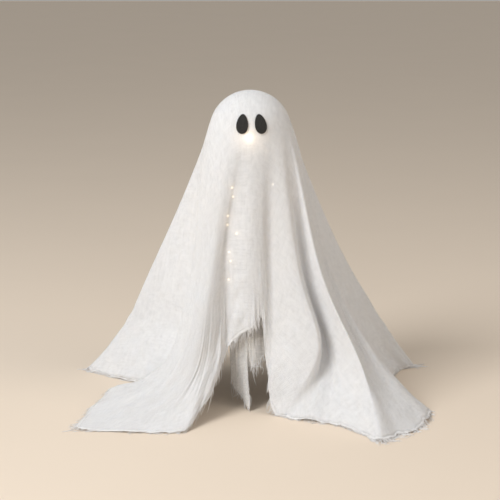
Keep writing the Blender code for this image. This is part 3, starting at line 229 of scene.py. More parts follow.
def run_down(knots, first_direction, shares):
    """Points down a set of lines that pass through their own knots. The slope at a knot is the mean
    of the runs beside it, weighted by the other's length, and shares are parts of the whole run."""
    spans = [np.linalg.norm(b - a, axis=-1, keepdims=True) for a, b in zip(knots, knots[1:])]
    runs = [(b - a) / span for a, b, span in zip(knots, knots[1:], spans)]
    slopes = [first_direction]
    for run, after, span, span_after in zip(runs, runs[1:], spans, spans[1:]):
        slopes.append((run * span_after + after * span) / (span + span_after))
    slopes.append((3 * runs[-1] - slopes[-1]) / 2)
    ends = np.cumsum([np.zeros_like(spans[0])] + spans, axis=0)
    along = ends[-1] * shares[..., None]
    points = np.broadcast_to(knots[-1], along.shape[:-1] + (3,))
    for i in reversed(range(len(spans))):
        t = np.clip((along - ends[i]) / spans[i], 0.0, 1.0)
        piece = hermite(knots[i], knots[i + 1], slopes[i] * spans[i], slopes[i + 1] * spans[i], t)
        points = np.where(along <= ends[i + 1] + 1e-9, piece, points)
    return points


def ease(x, low, high):
    """A smooth step from 0 at low to 1 at high."""
    t = np.clip((x - low) / (high - low), 0.0, 1.0)
    return t * t * (3 - 2 * t)


def uneven(x, y, rng, across, along):
    """Smooth uneven heights from -1 to 1: random values on a lattice that closes on itself across,
    eased between by the smooth step. x runs from 0 to 1 across and y from 0 to 1 along."""
    lattice = rng.uniform(-1.0, 1.0, (along + 2, across))
    u, v = x * across, np.clip(y, 0.0, 1.0) * along
    i, j = np.floor(u).astype(int), np.floor(v).astype(int)
    a, b = ease(u - i, 0, 1), ease(v - j, 0, 1)
    i0, i1 = i % across, (i + 1) % across
    return ((lattice[j, i0] * (1 - a) + lattice[j, i1] * a) * (1 - b)
            + (lattice[j + 1, i0] * (1 - a) + lattice[j + 1, i1] * a) * b)


def outward(grid, closed):
    """The direction out of a grid of rows from top to bottom, its columns anticlockwise from above:
    the run down crossed with the run across."""
    down = np.gradient(grid, axis=0)
    if closed:
        across = np.roll(grid, -1, axis=1) - np.roll(grid, 1, axis=1)
    else:
        across = np.gradient(grid, axis=1)
    normal = np.cross(down, across)
    return normal / np.maximum(np.linalg.norm(normal, axis=-1, keepdims=True), 1e-12)


def over_legs(grid):
    """Holds the cloth out where it would fall inside a leg, whose radius grows evenly downwards."""
    radius = np.hypot(grid[..., 0], grid[..., 1])
    turn = np.degrees(np.arctan2(grid[..., 0], -grid[..., 1]))
    share = np.clip((LEG_TOP[1] - grid[..., 2]) / (LEG_TOP[1] - LEG_LOW[1]), 0.0, 1.0)
    leg = LEG_TOP[0] + share * (LEG_LOW[0] - LEG_TOP[0]) + LEG_LIFT
    for leg_turn in LEG_TURNS:
        aside = np.abs((turn - leg_turn + 180.0) % 360.0 - 180.0)
        held = (aside < LEG_SPREAD) & (grid[..., 2] < LEG_TOP[1]) & (radius < leg)
        out = np.where(held, leg / np.maximum(radius, 1e-4), 1.0)
        grid[..., :2] *= out[..., None]
        radius = radius * out
    return grid


def grid_faces(height, width, columns):
    """Four-cornered faces of a grid of rows, as many across as columns, the last joined to the first
    where there are as many as points."""
    i = np.arange(columns)
    j = np.arange(height - 1)[:, None] * width
    after = (i + 1) % width
    return np.stack([j + i, j + width + i, j + width + after, j + after], axis=-1).reshape(-1, 4).tolist()


def grid_mesh(name, grid, closed, pole=None, flat=None):
    """A mesh from a grid of points, rows from top to bottom. A closed grid joins its last column to
    its first, and a pole is a point that its first row closes on. flat holds the UV of each point."""
    height, width = grid.shape[:2]
    points = grid.reshape(-1, 3)
    faces = grid_faces(height, width, width if closed else width - 1)
    if pole is not None:
        points = np.concatenate([points, [pole]])
        faces += [[len(points) - 1, a, (a + 1) % width] for a in range(width)]
    mesh = bpy.data.meshes.new(name)
    mesh.from_pydata((points + AXIS).tolist(), [], faces)
    if flat is not None:
        uv = flat.reshape(-1, 2)
        if pole is not None:
            uv = np.concatenate([uv, [[0.0, 0.0]]])
        corners = np.empty(len(mesh.loops), int)
        mesh.loops.foreach_get("vertex_index", corners)
        layer = mesh.uv_layers.new(name="Threads")
        layer.data.foreach_set("uv", uv[corners].astype(np.float32).ravel())
    mesh.shade_smooth()
    return mesh


def show(name, mesh, material, *nodes):
    """Links a mesh as a piece that rides on the figure and stands for the named solids."""
    obj = bpy.data.objects.new(name, mesh)
    bpy.context.scene.collection.objects.link(obj)
    mesh.materials.append(material)
    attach(obj, "figure")
    if nodes:
        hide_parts(*nodes)
    return obj


def thicken(obj, thickness):
    """Gives a sheet its thickness, inwards from its shown face."""
    step = obj.modifiers.new("Thickness", "SOLIDIFY")
    step.thickness = thickness
    step.offset = -1.0
    step.use_even_offset = False
    step.use_rim = True


def strand_mesh(name, paths, radius):
    """Closed three-sided tubes along many paths at once. Each ring turns round its point in a frame
    of the strand's own run and a fixed side, and both ends are drawn in."""
    count, length = paths.shape[:2]
    run = np.gradient(paths, axis=1)
    run /= np.maximum(np.linalg.norm(run, axis=2, keepdims=True), 1e-9)
    whole = paths[:, -1] - paths[:, 0]
    flat = np.abs(whole[:, :1]) < 0.7 * np.linalg.norm(whole, axis=1, keepdims=True)
    helper = np.where(flat, [[1.0, 0.0, 0.0]], [[0.0, 1.0, 0.0]])[:, None]
    side = np.cross(run, helper)
    side /= np.maximum(np.linalg.norm(side, axis=2, keepdims=True), 1e-9)
    other = np.cross(run, side)
    turn = np.arange(3) * math.tau / 3
    size = radius * np.minimum(1.0, 0.35 + 3.0 * np.sin(np.linspace(0, math.pi, length)))
    rings = (paths[:, :, None] + size[None, :, None, None]
             * (np.cos(turn)[:, None] * side[:, :, None] + np.sin(turn)[:, None] * other[:, :, None]))
    start = (np.arange(count) * length * 3)[:, None, None]
    ring = (np.arange(length - 1) * 3)[None, :, None]
    k = np.arange(3)[None, None]
    after = (k + 1) % 3
    base = start + ring
    quads = np.stack([base + k, base + after, base + 3 + after, base + 3 + k], axis=-1).reshape(-1, 4)
    first = (start[:, 0] + np.array([[2, 1, 0]])).tolist()
    last = (start[:, 0] + (length - 1) * 3 + np.array([[0, 1, 2]])).tolist()
    mesh = bpy.data.meshes.new(name)
    mesh.from_pydata((rings.reshape(-1, 3) + AXIS).tolist(), [], quads.tolist() + first + last)
    mesh.shade_smooth()
    return mesh


# The outer cloth

DOME_ROWS = 22
SKIRT_ROWS = 76
FOLD_COLUMNS = 16
FOLD_ROOM = (0.014, 0.042)               # width of a fold where its softer folds begin and are full
REAR_TURNS = (112.0, 140.0)              # from the front, where the gathers begin and are full
FOLD_CRISPNESS = (0.0, 0.15, 0.6, 1.0)   # shares of the crispness at the head, knee, toe and hem


def fold_lines(at, crispness):
    """The fold table at fractional folds: turn, leaving slope, knee, toe and hem."""
    step = 360.0 / len(FOLDS)
    table = np.array([[fold[1] - i * step, fold[2], *fold[3], *fold[4], *fold[5]]
                      for i, fold in enumerate(FOLDS)])
    lines = through(table, at, True, crispness * np.repeat(FOLD_CRISPNESS, (2, 3, 3, 3)))
    lines[:, 0] += at * step
    return lines


def drape_grid(cloth):
    """The outer cloth as a grid. Each column follows a great circle of the head to where its fold
    leaves it, then runs through the fold's knee, toe and hem. Broad soft folds move it along its
    outward direction, growing towards the floor and with the room between two main folds, and least
    over the front. Behind, where the spare cloth lies, they are narrow gathers that start at the
    neck. Crumples are added near the floor."""
    rng = np.random.default_rng(cloth.seed)
    width = len(FOLDS) * FOLD_COLUMNS
    at = np.arange(width) / FOLD_COLUMNS
    lines = fold_lines(at, cloth.crispness)
    turn = np.radians(lines[:, 0])
    leave = np.radians(lines[:, 1])[:, None]
    out = np.column_stack([np.sin(turn), -np.cos(turn), np.zeros_like(turn)])
    up = np.array([0.0, 0.0, 1.0])
    polar = leave[None] * (np.arange(1, DOME_ROWS + 1) / DOME_ROWS)[:, None, None]
    dome = CLOTH_RADIUS * (np.sin(polar) * out + np.cos(polar) * up) + HEAD_Z * up
    x = at / len(FOLDS)
    trim = 1.0 + 0.008 * uneven(x, 0 * x, rng, 190, 1) - 0.010 * ease(
        uneven(x, 0 * x, rng, 70, 1), 0.45, 0.9)
    shares = (np.arange(1, SKIRT_ROWS + 1) / SKIRT_ROWS)[:, None] * trim
    knots = [dome[-1], lines[:, 2:5], lines[:, 5:8], lines[:, 8:11]]
    skirt = run_down(knots, np.cos(leave) * out - np.sin(leave) * up, shares)
    grid = np.concatenate([dome, skirt])
    y = np.concatenate([np.full(DOME_ROWS, 0.0), shares.mean(axis=1)])[:, None] + 0 * x
    x = x + 0 * y
    front = np.abs((np.degrees(turn) + 180.0) % 360.0 - 180.0)
    face = 1.0 - (1.0 - ease(front, 34.0, 56.0))[None] * (1.0 - ease(y, 0.25, 1.0))
    grown = ease(y, 0.0, 0.45) * (0.35 + 0.65 * y) * face
    room = np.linalg.norm(np.roll(grid, -1, axis=1) - grid, axis=2) * FOLD_COLUMNS
    grown = grown * ease(room, *FOLD_ROOM)
    soft = uneven(x, y, rng, 54, 3) * 0.8 + uneven(x, y, rng, 96, 4) * 0.35
    narrow = uneven(x, y, rng, 150, 2) + 0.5 * uneven(x, y, rng, 96, 3)
    behind = ease(front, REAR_TURNS[0], REAR_TURNS[1])[None]
    crumple = (uneven(x, y, rng, 60, 12) + 0.5 * uneven(x, y, rng, 140, 30)) * ease(room, *FOLD_ROOM)
    move = cloth.pleat * grown * soft * (1.0 - behind)
    move = move + cloth.gather * ease(y, 0.0, 0.25) * narrow * behind
    move = move + cloth.wrinkle * ease(y, 0.35, 0.95) * crumple * face
    grid = grid + outward(grid, True) * move[..., None]
    grid = over_legs(grid)
    wave = 0.0006 * (1 + uneven(x, y, rng, 240, 20)) * ease(y, 0.6, 1.0)
    grid[..., 2] = np.maximum(grid[..., 2], CLOTH_FLOOR + wave)
    return grid, turn


def flat_place(grid, turn, pole):
    """Where each point lay on the flat cloth: its distance down its column from the pole, turned by
    the column's own turn on the head."""
    rows = np.concatenate([np.broadcast_to(pole, grid[:1].shape), grid])
    run = np.cumsum(np.linalg.norm(np.diff(rows, axis=0), axis=2), axis=0)
    return np.stack([run * np.sin(turn), -run * np.cos(turn)], axis=-1)


# The ply behind the front hem

UNDER_ROWS = 90
UNDER_COLUMNS = 12


def under_grid(cloth):
    """The under cloth as a grid: straight down from under the head, then through the knee, toe and
    hem of each line, with small ripples along its outward direction that grow downwards."""
    rng = np.random.default_rng(cloth.seed + 1)
    table = np.array([[line[0], *line[1], *line[2], *line[3]] for line in UNDER_LINES])
    at = np.arange((len(UNDER_LINES) - 1) * UNDER_COLUMNS + 1) / UNDER_COLUMNS
    lines = through(table, at, False)
    turn = np.radians(lines[:, 0])
    top = np.column_stack([UNDER_RADIUS * np.sin(turn), -UNDER_RADIUS * np.cos(turn),
                           np.full_like(turn, UNDER_TOP)])
    x = at / (len(UNDER_LINES) - 1)
    torn = 1.0 - 0.014 * np.abs(uneven(x * 0.99, 0 * x, rng, 22, 1))
    shares = (np.arange(UNDER_ROWS + 1) / UNDER_ROWS)[:, None] * torn
    down = np.broadcast_to([0.0, 0.0, -1.0], top.shape)
    grid = run_down([top, lines[:, 1:4], lines[:, 4:7], lines[:, 7:10]], down, shares)
    y = shares / shares.max()
    x = x * 0.99 + 0 * y
    move = 0.0011 * ease(y, 0.3, 0.9) * (uneven(x, y, rng, 9, 5) + 0.5 * uneven(x, y, rng, 24, 16))
    grid = grid + outward(grid, False) * move[..., None]
    grid[..., 2] = np.maximum(grid[..., 2], CLOTH_FLOOR)
    return grid


# Loose threads

LONGEST_THREAD = 1.9                     # times the usual length

# Where the hem is most torn: the fold, how far to each side of it, the threads there and their length
TUFTS = {
    "rear_right_ridge": (0.22, 90, 1.6),
    "rear_left_ridge": (0.30, 50, 1.6),
    "front_left_ridge": (0.25, 40, 1.8),
    "front_right_ridge": (0.60, 110, 1.5),
    "front_right_crease": (0.45, 60, 1.4),
    "front_middle": (0.80, 70, 0.9),
}


def hem_threads(cloth, grid, closed, count, rng, spread, longer=1.0):
    """Paths of loose threads that leave a hem: each starts on the last row and runs on the way the
    cloth runs, turned aside by a random share, curling, and sinking with the square of its length.
    spread limits the columns they leave from, and longer is a factor on their length."""
    edge, before = grid[-1], grid[-3]
    width = len(edge)
    place = rng.uniform(*spread, count) * width
    first = np.floor(place).astype(int)
    part = (place - first)[:, None]
    after = (first + 1) % width if closed else np.minimum(first + 1, width - 1)
    first = first % width
    start = edge[first] * (1 - part) + edge[after] * part
    run = edge[first] - before[first]
    run /= np.maximum(np.linalg.norm(run, axis=1, keepdims=True), 1e-9)
    side = edge[after] - edge[first]
    side /= np.maximum(np.linalg.norm(side, axis=1, keepdims=True), 1e-9)
    times = np.minimum(rng.gamma(2.2, 0.45, count), LONGEST_THREAD)
    length = longer * cloth.fray * times[:, None, None]
    t = np.linspace(0.0, 1.0, 8)[None, :, None]
    lean = rng.normal(0.0, 0.55, (count, 1, 1))
    curl = rng.normal(0.0, 0.5, (count, 1, 1))
    lift = rng.uniform(-0.05, 0.25, (count, 1, 1)) * (start[:, None, 2:] < 0.02)
    path = start[:, None] - run[:, None] * 0.0015 + length * (
        run[:, None] * t + side[:, None] * (lean * t + curl * np.sin(t * 3.0) * t))
    path[..., 2:] += length * (lift * t * (1.2 - t) - 0.45 * t * t)
    path[..., 2] = np.maximum(path[..., 2], 0.0005)
    return path


def hem_lines(cloth, grid, count, rng):
    """Paths of threads that lie along a closed hem, as where the outermost threads of a raw edge
    have worked loose: each follows the last row over some columns, a little way off it."""
    edge, before = grid[-1], grid[-4]
    width = len(edge)
    out = edge - before
    out /= np.maximum(np.linalg.norm(out, axis=1, keepdims=True), 1e-9)
    start = rng.integers(0, width, count)[:, None]
    reach = rng.integers(8, 26, count)[:, None]
    t = np.linspace(0.0, 1.0, 22)[None]
    at = start + reach * t
    i = np.floor(at).astype(int)
    part = (at - i)[..., None]
    line = edge[i % width] * (1 - part) + edge[(i + 1) % width] * part
    away = out[i % width]
    offset = cloth.fray * rng.uniform(0.05, 0.42, (count, 1)) * np.sin(t * math.pi) ** 0.5
    offset = offset + 0.0003 * np.sin(at * 2.3 + start)
    line = line + away * offset[..., None]
    line[..., 2] = np.maximum(line[..., 2], 0.0006)
    return line


# The felt eyes

def eye_grid(felt, turn, lean, rng):
    """A felt egg that follows the cloth over the head, narrower at the top: rings of growing share
    of the outline, the face slightly crowned and its rim rounded, then back under to the middle."""
    around = np.arange(96) * math.tau / 96
    lean = math.radians(lean)
    middle = math.radians(90.0 - EYE_UP_TURN)
    face = np.linspace(0.04, 0.93, 22)
    rim = np.linspace(0.0, math.pi, 9)
    share = np.concatenate([face, 0.955 + 0.045 * np.sin(rim), face[::-1][::3]])
    crown = EYE_LIFT + EYE_THICKNESS * (1.08 - 0.10 * face ** 2)
    edge = EYE_LIFT + EYE_THICKNESS * (0.5 + 0.5 * np.cos(rim))
    lift = np.concatenate([crown, edge, np.full(len(face[::3]), EYE_LIFT)])
    share = share[:, None]
    rise = share * EYE_SIZE[1] / 2 * np.sin(around)
    side = share * EYE_SIZE[0] / 2 * np.cos(around) * (1 - EYE_TAPER * np.sin(around))
    across = side * math.cos(lean) - rise * math.sin(lean)
    upward = side * math.sin(lean) + rise * math.cos(lean)
    polar = middle - upward / CLOTH_RADIUS
    angle = math.radians(turn) + across / (CLOTH_RADIUS * math.sin(middle))
    top = (lift > EYE_LIFT * 1.01)[:, None]
    rough = felt.pile * uneven(around / math.tau + 0 * share, share + 0 * across, rng, 60, 26)
    radius = CLOTH_RADIUS + lift[:, None] + rough * top
    return np.stack([radius * np.sin(polar) * np.sin(angle), -radius * np.sin(polar) * np.cos(angle),
                     HEAD_Z + radius * np.cos(polar)], axis=-1)


def closed_mesh(name, grid):
    """A closed mesh from a grid that is a ring round, with a point in the middle of each end row."""
    height, width = grid.shape[:2]
    points = np.concatenate([grid.reshape(-1, 3), [grid[0].mean(axis=0), grid[-1].mean(axis=0)]])
    last = (height - 1) * width
    ends = [[len(points) - 2, a, (a + 1) % width] for a in range(width)]
    ends += [[len(points) - 1, last + (a + 1) % width, last + a] for a in range(width)]
    mesh = bpy.data.meshes.new(name)
    mesh.from_pydata((points + AXIS).tolist(), [], grid_faces(height, width, width) + ends)
    mesh.shade_smooth()
    return mesh


# Finishes

def hold(node, values):
    """Sets plain values on a node's own sockets."""
    for name, value in values.items():
        node.inputs[name].default_value = value


def new_finish(name, colour, roughness, metallic=0.0):
    """A material with its shader set to plain values, for nodes to be added to."""
    mat = bpy.data.materials.new(name)
    mat.use_nodes = True
    tree = mat.node_tree
    shader = tree.nodes["Principled BSDF"]
    hold(shader, {"Base Color": (*colour, 1.0), "Roughness": roughness, "Metallic": metallic})
    mat.diffuse_color = (*colour, 1.0)
    return mat, tree, shader


def add(tree, kind, sockets=None, **settings):
    """Adds a node. Settings are the node's own, and sockets take a value or another node's output."""
    node = tree.nodes.new(kind)
    for name, value in settings.items():
        setattr(node, name, value)
    for name, value in (sockets or {}).items():
        if isinstance(value, bpy.types.NodeSocket):
            tree.links.new(value, node.inputs[name])
        else:
            node.inputs[name].default_value = value
    return node


def own_place(tree):
    """Where a point lies on its piece, in metres."""
    return add(tree, "ShaderNodeTexCoord").outputs["Object"]


def sums(tree, operation, a, b):
    """The result of one sum on two numbers or sockets."""
    return add(tree, "ShaderNodeMath", {0: a, 1: b}, operation=operation).outputs[0]


def places(tree, operation, a, b=(0.0, 0.0, 0.0), result=0):
    """The result of one sum on two places or directions."""
    return add(tree, "ShaderNodeVectorMath", {0: a, 1: b}, operation=operation).outputs[result]


def between(tree, value, low, high, to_low, to_high):
    """A number from one range moved into another, held at its ends."""
    return add(tree, "ShaderNodeMapRange", {"Value": value, "From Min": low, "From Max": high,
                                            "To Min": to_low, "To Max": to_high}).outputs[0]


def stretched(tree, where, scale, turn=(0.0, 0.0, 0.0)):
    """Places scaled along each way and turned about the origin, to draw a pattern out."""
    return add(tree, "ShaderNodeMapping", {"Vector": where, "Scale": scale, "Rotation": turn}
               ).outputs[0]


def blotches(tree, where, size, detail=3.0):
    """Cloudy noise with spots of about the given size in metres."""
    return add(tree, "ShaderNodeTexNoise", {"Vector": where, "Scale": 1.0 / size, "Detail": detail}
               ).outputs[0]


def tint(tree, shader, amount, dark, light):
    """Colours the shader between two tones of its own colour by a number from 0 to 1."""
    base = shader.inputs["Base Color"].default_value[:3]
    ramp = add(tree, "ShaderNodeValToRGB", {0: amount})
    ramp.color_ramp.elements[0].color = (*(c * dark for c in base), 1.0)
    ramp.color_ramp.elements[1].color = (*(min(1.0, c * light) for c in base), 1.0)
    tree.links.new(ramp.outputs[0], shader.inputs["Base Color"])


def relief(tree, shader, height, depth, strength=1.0):
    """Lets a height from 0 to 1 stand out by depth in metres."""
    bump = add(tree, "ShaderNodeBump", {"Height": height, "Distance": depth, "Strength": strength})
    tree.links.new(bump.outputs[0], shader.inputs["Normal"])


THREAD_WANDER = 2.2                      # how far the lines of threads wander, times their spacing
SLUB = (1.6, 0.40)                       # thickness of a slub, times the spacing, and its weight
CLOUDS = ((0.009, 0.45), (0.0009, 0.40))  # size and weight of denser and thinner places


def gauze(name, colour, pitch, open_share, seed, glow=None):
    """Loose plain weave on the piece's own UV map in metres: warp and weft as two sets of bands whose
    lines wander, slubs as noise drawn out along each, holes where all are thin, and cloudy changes of
    tone."""
    mat, tree, shader = new_finish(name, colour, 0.92)
    hold(shader, {"Sheen Weight": 0.12, "Subsurface Weight": 0.35,
                  "Subsurface Radius": (1.0, 0.85, 0.7), "Subsurface Scale": 0.004})
    flat = add(tree, "ShaderNodeUVMap", uv_map="Threads").outputs[0]
    shift = places(tree, "ADD", flat, (0.01 * seed, 0.013 * seed, 0.0))
    drift = add(tree, "ShaderNodeTexNoise", {"Vector": shift, "Scale": 120.0, "Detail": 2.0})
    centred = places(tree, "SUBTRACT", drift.outputs["Color"], (0.5, 0.5, 0.5))
    moved = places(tree, "MULTIPLY", centred, (THREAD_WANDER * pitch, THREAD_WANDER * pitch, 0.0))
    where = places(tree, "ADD", shift, moved)
    bands = [add(tree, "ShaderNodeTexWave", {"Vector": where, "Scale": math.pi / (10.0 * pitch)},
                 wave_type="BANDS", bands_direction=way).outputs["Fac"] for way in ("X", "Y")]
    body = sums(tree, "MAXIMUM", *bands)
    for way in ((1.0, 0.07, 1.0), (0.07, 1.0, 1.0)):
        run = stretched(tree, shift, way)
        slub = sums(tree, "SUBTRACT", blotches(tree, run, SLUB[0] * pitch, 3.0), 0.5)
        body = sums(tree, "ADD", body, sums(tree, "MULTIPLY", slub, SLUB[1]))
    for size, share in CLOUDS:
        cloud = sums(tree, "SUBTRACT", blotches(tree, shift, size, 3.0), 0.5)
        body = sums(tree, "ADD", body, sums(tree, "MULTIPLY", cloud, share))
    cover = between(tree, body, 0.25, 0.85, 1.0 - open_share, 0.97)
    tree.links.new(cover, shader.inputs["Alpha"])
    tone = sums(tree, "ADD", sums(tree, "MULTIPLY", body, 0.55),
                sums(tree, "MULTIPLY", blotches(tree, shift, 0.035, 4.0), 0.45))
    tint(tree, shader, between(tree, tone, 0.25, 0.80, 0.0, 1.0), 0.93, 1.02)
    relief(tree, shader, body, 0.00040, 0.55)
    if glow is not None:
        glow(tree, shader)
    return mat


# POINT and RING size the painted points of light in the cloth and the faint painted ring round each
POINT = (0.0004, 0.0022, 2.2)            # where a point begins to fade and ends, and its brightness
RING = (0.0, 0.012, 0.22)                # the same for the faint ring round it


def points_through(tree, where):
    """Painted points of light: how brightly the small lights at the front left are painted into the cloth
    as emission straight before them, along -Y. For each, brightness falls evenly with the distance from
    the line that runs forwards through it, to nothing at the point's edge, and is squared. A wide faint
    painted ring of light is added in the same way."""
    total = 0.0
    for name in named("led_bead"):
        low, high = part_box(name)
        middle = (low + high) / 2
        if middle.x > AXIS[0] or middle.y > AXIS[1]:
            continue
        offset = places(tree, "SUBTRACT", where, tuple(middle))
        aside = places(tree, "MULTIPLY", offset, (1.0, 0.0, 1.0))
        away = places(tree, "LENGTH", aside, result="Value")
        depth = add(tree, "ShaderNodeSeparateXYZ", {0: offset}).outputs["Y"]
        spot, ring = (sums(tree, "MULTIPLY", sums(
            tree, "POWER", between(tree, away, low, high, 1.0, 0.0), 2.0), amount)
            for low, high, amount in (POINT, RING))
        seen = sums(tree, "LESS_THAN", depth, 0.0)
        total = sums(tree, "ADD", total, sums(tree, "MULTIPLY", sums(tree, "ADD", spot, ring), seen))
    return total


def lamp_glow(lights, points=False):
    """Painted glow: the lamp's warm light painted into the cloth as emission. From the place in front of
    the lamp it falls off evenly to the halo's edge, raised to a power, with a brighter core. points adds
    the small lights as painted points of light."""
    low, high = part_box("head_lamp")
    lamp = np.array((low + high) / 2) - AXIS
    out = lamp - np.array([0.0, 0.0, HEAD_Z])
    spot = np.array([0.0, 0.0, HEAD_Z]) + out / np.linalg.norm(out) * CLOTH_RADIUS + AXIS

    def shine(tree, shader):
        where = own_place(tree)
        far = places(tree, "DISTANCE", where, tuple(spot), "Value")
        halo = between(tree, far, 0.0, lights.halo, 1.0, 0.0)
        core = between(tree, far, lights.halo * 0.03, lights.halo * 0.26, 1.0, 0.0)
        amount = sums(tree, "ADD", sums(tree, "MULTIPLY", sums(tree, "POWER", halo, 2.2), 0.60),
                      sums(tree, "POWER", core, 1.4))
        if points:
            amount = sums(tree, "ADD", amount, points_through(tree, where))
        # painted glow: the warm light is emission in the cloth's or shell's own material, not light from the
        # lamp
        shader.inputs["Emission Color"].default_value = (*(0.75 * c + 0.25 for c in lights.colour), 1.0)
        tree.links.new(sums(tree, "MULTIPLY", amount, lights.glow), shader.inputs["Emission Strength"])
    return shine


def milk_finish(shell, lights, name="Milky moulding", lit=False):
    """Moulded milky plastic: a fine eggshell grain, slightly cloudy, with light passing through. lit adds
    the lamp's glow, painted in as emission.
    """
    mat, tree, shader = new_finish(name, shell.milk, 0.48)
    hold(shader, {"Subsurface Weight": 0.30, "Subsurface Scale": 0.003})
    where = own_place(tree)
    tint(tree, shader, blotches(tree, where, 0.012), 0.93, 1.03)
    tree.links.new(between(tree, blotches(tree, where, 0.004), 0.3, 0.7, 0.42, 0.56),
                   shader.inputs["Roughness"])
    relief(tree, shader, blotches(tree, where, 0.0006), 0.00006)
    # painted glow: the lamp's light is painted into the shell as emission
    if lit:
        lamp_glow(lights)(tree, shader)
    return mat


def wire_finish(name, colour, roughness, grain):
    """Drawn metal: fine lines along the wire, as noise stretched down Z, and dull patches."""
    mat, tree, shader = new_finish(name, colour, roughness, 1.0)
    where = own_place(tree)
    lines = stretched(tree, where, (1.0, 1.0, 0.06))
    streaks = blotches(tree, lines, grain)
    tint(tree, shader, blotches(tree, where, 0.006), 0.82, 1.05)
    tree.links.new(between(tree, streaks, 0.3, 0.7, roughness * 0.75, roughness * 1.35),
                   shader.inputs["Roughness"])
    relief(tree, shader, streaks, 0.00002)
    return mat


def dull_finish(name, colour, roughness, grain, depth):
    """Rubber, black plastic or felt: uneven tone and a raised grain of one size."""
    mat, tree, shader = new_finish(name, colour, roughness)
    where = own_place(tree)
    spots = blotches(tree, where, grain, 4.0)
    tint(tree, shader, blotches(tree, where, grain * 6), 0.75, 1.35)
    relief(tree, shader, spots, depth)
    return mat


def felt_finish(felt):
    """Black felt: matted fibres as noise drawn out two ways, a soft sheen and specks of lint."""
    mat, tree, shader = new_finish("Black felt", felt.colour, 0.95)
    hold(shader, {"Sheen Weight": 0.25, "Specular IOR Level": 0.2})
    where = own_place(tree)
    one = stretched(tree, where, (1.0, 1.0, 0.25), (0.0, 0.6, 0.0))
    two = stretched(tree, where, (0.25, 1.0, 1.0), (0.0, 0.9, 0.0))
    fibres = sums(tree, "MAXIMUM", blotches(tree, one, 0.0005), blotches(tree, two, 0.0005))
    tint(tree, shader, between(tree, fibres, 0.42, 0.78, 0.0, 1.0), 0.55, 2.1)
    relief(tree, shader, fibres, 0.00025)
    return mat


def light_finish(name, lights, strength):
    """A clear resin drop with its lit chip showing: brightest in its middle, warm at its rim."""
    mat, tree, shader = new_finish(name, lights.colour, 0.15)
    facing = add(tree, "ShaderNodeLayerWeight", {"Blend": 0.4}).outputs["Facing"]
    ramp = add(tree, "ShaderNodeValToRGB", {0: facing})
    ramp.color_ramp.elements[0].color = (1.0, 0.93, 0.80, 1.0)
    ramp.color_ramp.elements[1].color = (*lights.colour, 1.0)
    tree.links.new(ramp.outputs[0], shader.inputs["Emission Color"])
    shader.inputs["Emission Strength"].default_value = strength
    return mat


def board_finish(shell):
    """A green circuit board: lighter copper runs under the lacquer as a coarse grid of bricks."""
    mat, tree, shader = new_finish("Circuit board", shell.board, 0.35)
    where = own_place(tree)
    turned = stretched(tree, where, (1.0, 1.0, 1.0), (math.pi / 2, 0.0, 0.0))
    runs = add(tree, "ShaderNodeTexBrick", {"Vector": turned, "Scale": 180.0, "Mortar Size": 0.012,
                                            "Color1": (0.02, 0.02, 0.02, 1.0),
                                            "Color2": (0.30, 0.30, 0.30, 1.0),
                                            "Mortar": (1.0, 1.0, 1.0, 1.0)}).outputs["Color"]
    tint(tree, shader, runs, 0.85, 2.0)
    relief(tree, shader, runs, 0.00004)
    return mat


def cell_finish(shell):
    """A cell's printed jacket: a dark sleeve with a plain bright band under its shoulder, bare metal
    at both ends, told apart by height."""
    mat, tree, shader = new_finish("Cell jacket", shell.jacket, 0.32)
    low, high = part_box("battery_cell_1")
    where = own_place(tree)
    height = add(tree, "ShaderNodeSeparateXYZ", {0: where}).outputs["Z"]
    share = between(tree, height, low.z, high.z, 0.0, 1.0)
    ramp = add(tree, "ShaderNodeValToRGB", {0: share})
    ramp.color_ramp.interpolation = "CONSTANT"
    stops = ((0.0, shell.steel), (0.03, shell.jacket), (0.70, (0.62, 0.36, 0.12)),
             (0.94, shell.jacket), (0.965, shell.steel))
    for _ in range(len(stops) - 2):
        ramp.color_ramp.elements.new(0.5)
    for element, (place, colour) in zip(ramp.color_ramp.elements, stops):
        element.position = place
        element.color = (*colour, 1.0)
    tree.links.new(ramp.outputs[0], shader.inputs["Base Color"])
    bare = add(tree, "ShaderNodeValToRGB", {0: share})
    bare.color_ramp.interpolation = "CONSTANT"
    bare.color_ramp.elements.new(0.5)
    ends = ((0.0, 1.0), (0.03, 0.0), (0.965, 1.0))
    for element, (place, tone) in zip(bare.color_ramp.elements, ends):
        element.position = place
        element.color = (tone, tone, tone, 1.0)
    tree.links.new(bare.outputs[0], shader.inputs["Metallic"])
    relief(tree, shader, blotches(tree, where, 0.001), 0.00002)
    return mat


def dress(material, *nodes):
    """Gives solids that are kept a finish, in the slots that they have."""
    for name in nodes:
        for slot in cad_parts[name].material_slots:
            slot.material = material


def named(*starts):
    """The frame's nodes whose names start so."""
    return [name for name in sorted(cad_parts) if name.startswith(starts)]


# Pieces

class GHOST_OT_drape(bpy.types.Operator):
    """Makes the outer gauze cloth over the head and down to the floor"""
    bl_idname = "ghost.drape"
    bl_label = "Outer cloth"

    def execute(self, context):
        cloth, lights = context.scene.ghost_cloth, context.scene.ghost_lights
        grid, turn = drape_grid(cloth)
        pole = np.array([0.0, 0.0, HEAD_Z + CLOTH_RADIUS])
        mesh = grid_mesh("outer_cloth", grid, True, pole, flat_place(grid, turn, pole))
        # the cloth gets the lamp's glow and the small lights' points painted in as emission
        finish = gauze("Gauze", cloth.colour, cloth.pitch, 0.55, 0, lamp_glow(lights, True))
        obj = show("outer_cloth", mesh, finish, "gauze_drape")
        thicken(obj, cloth.thickness)
        return {"FINISHED"}


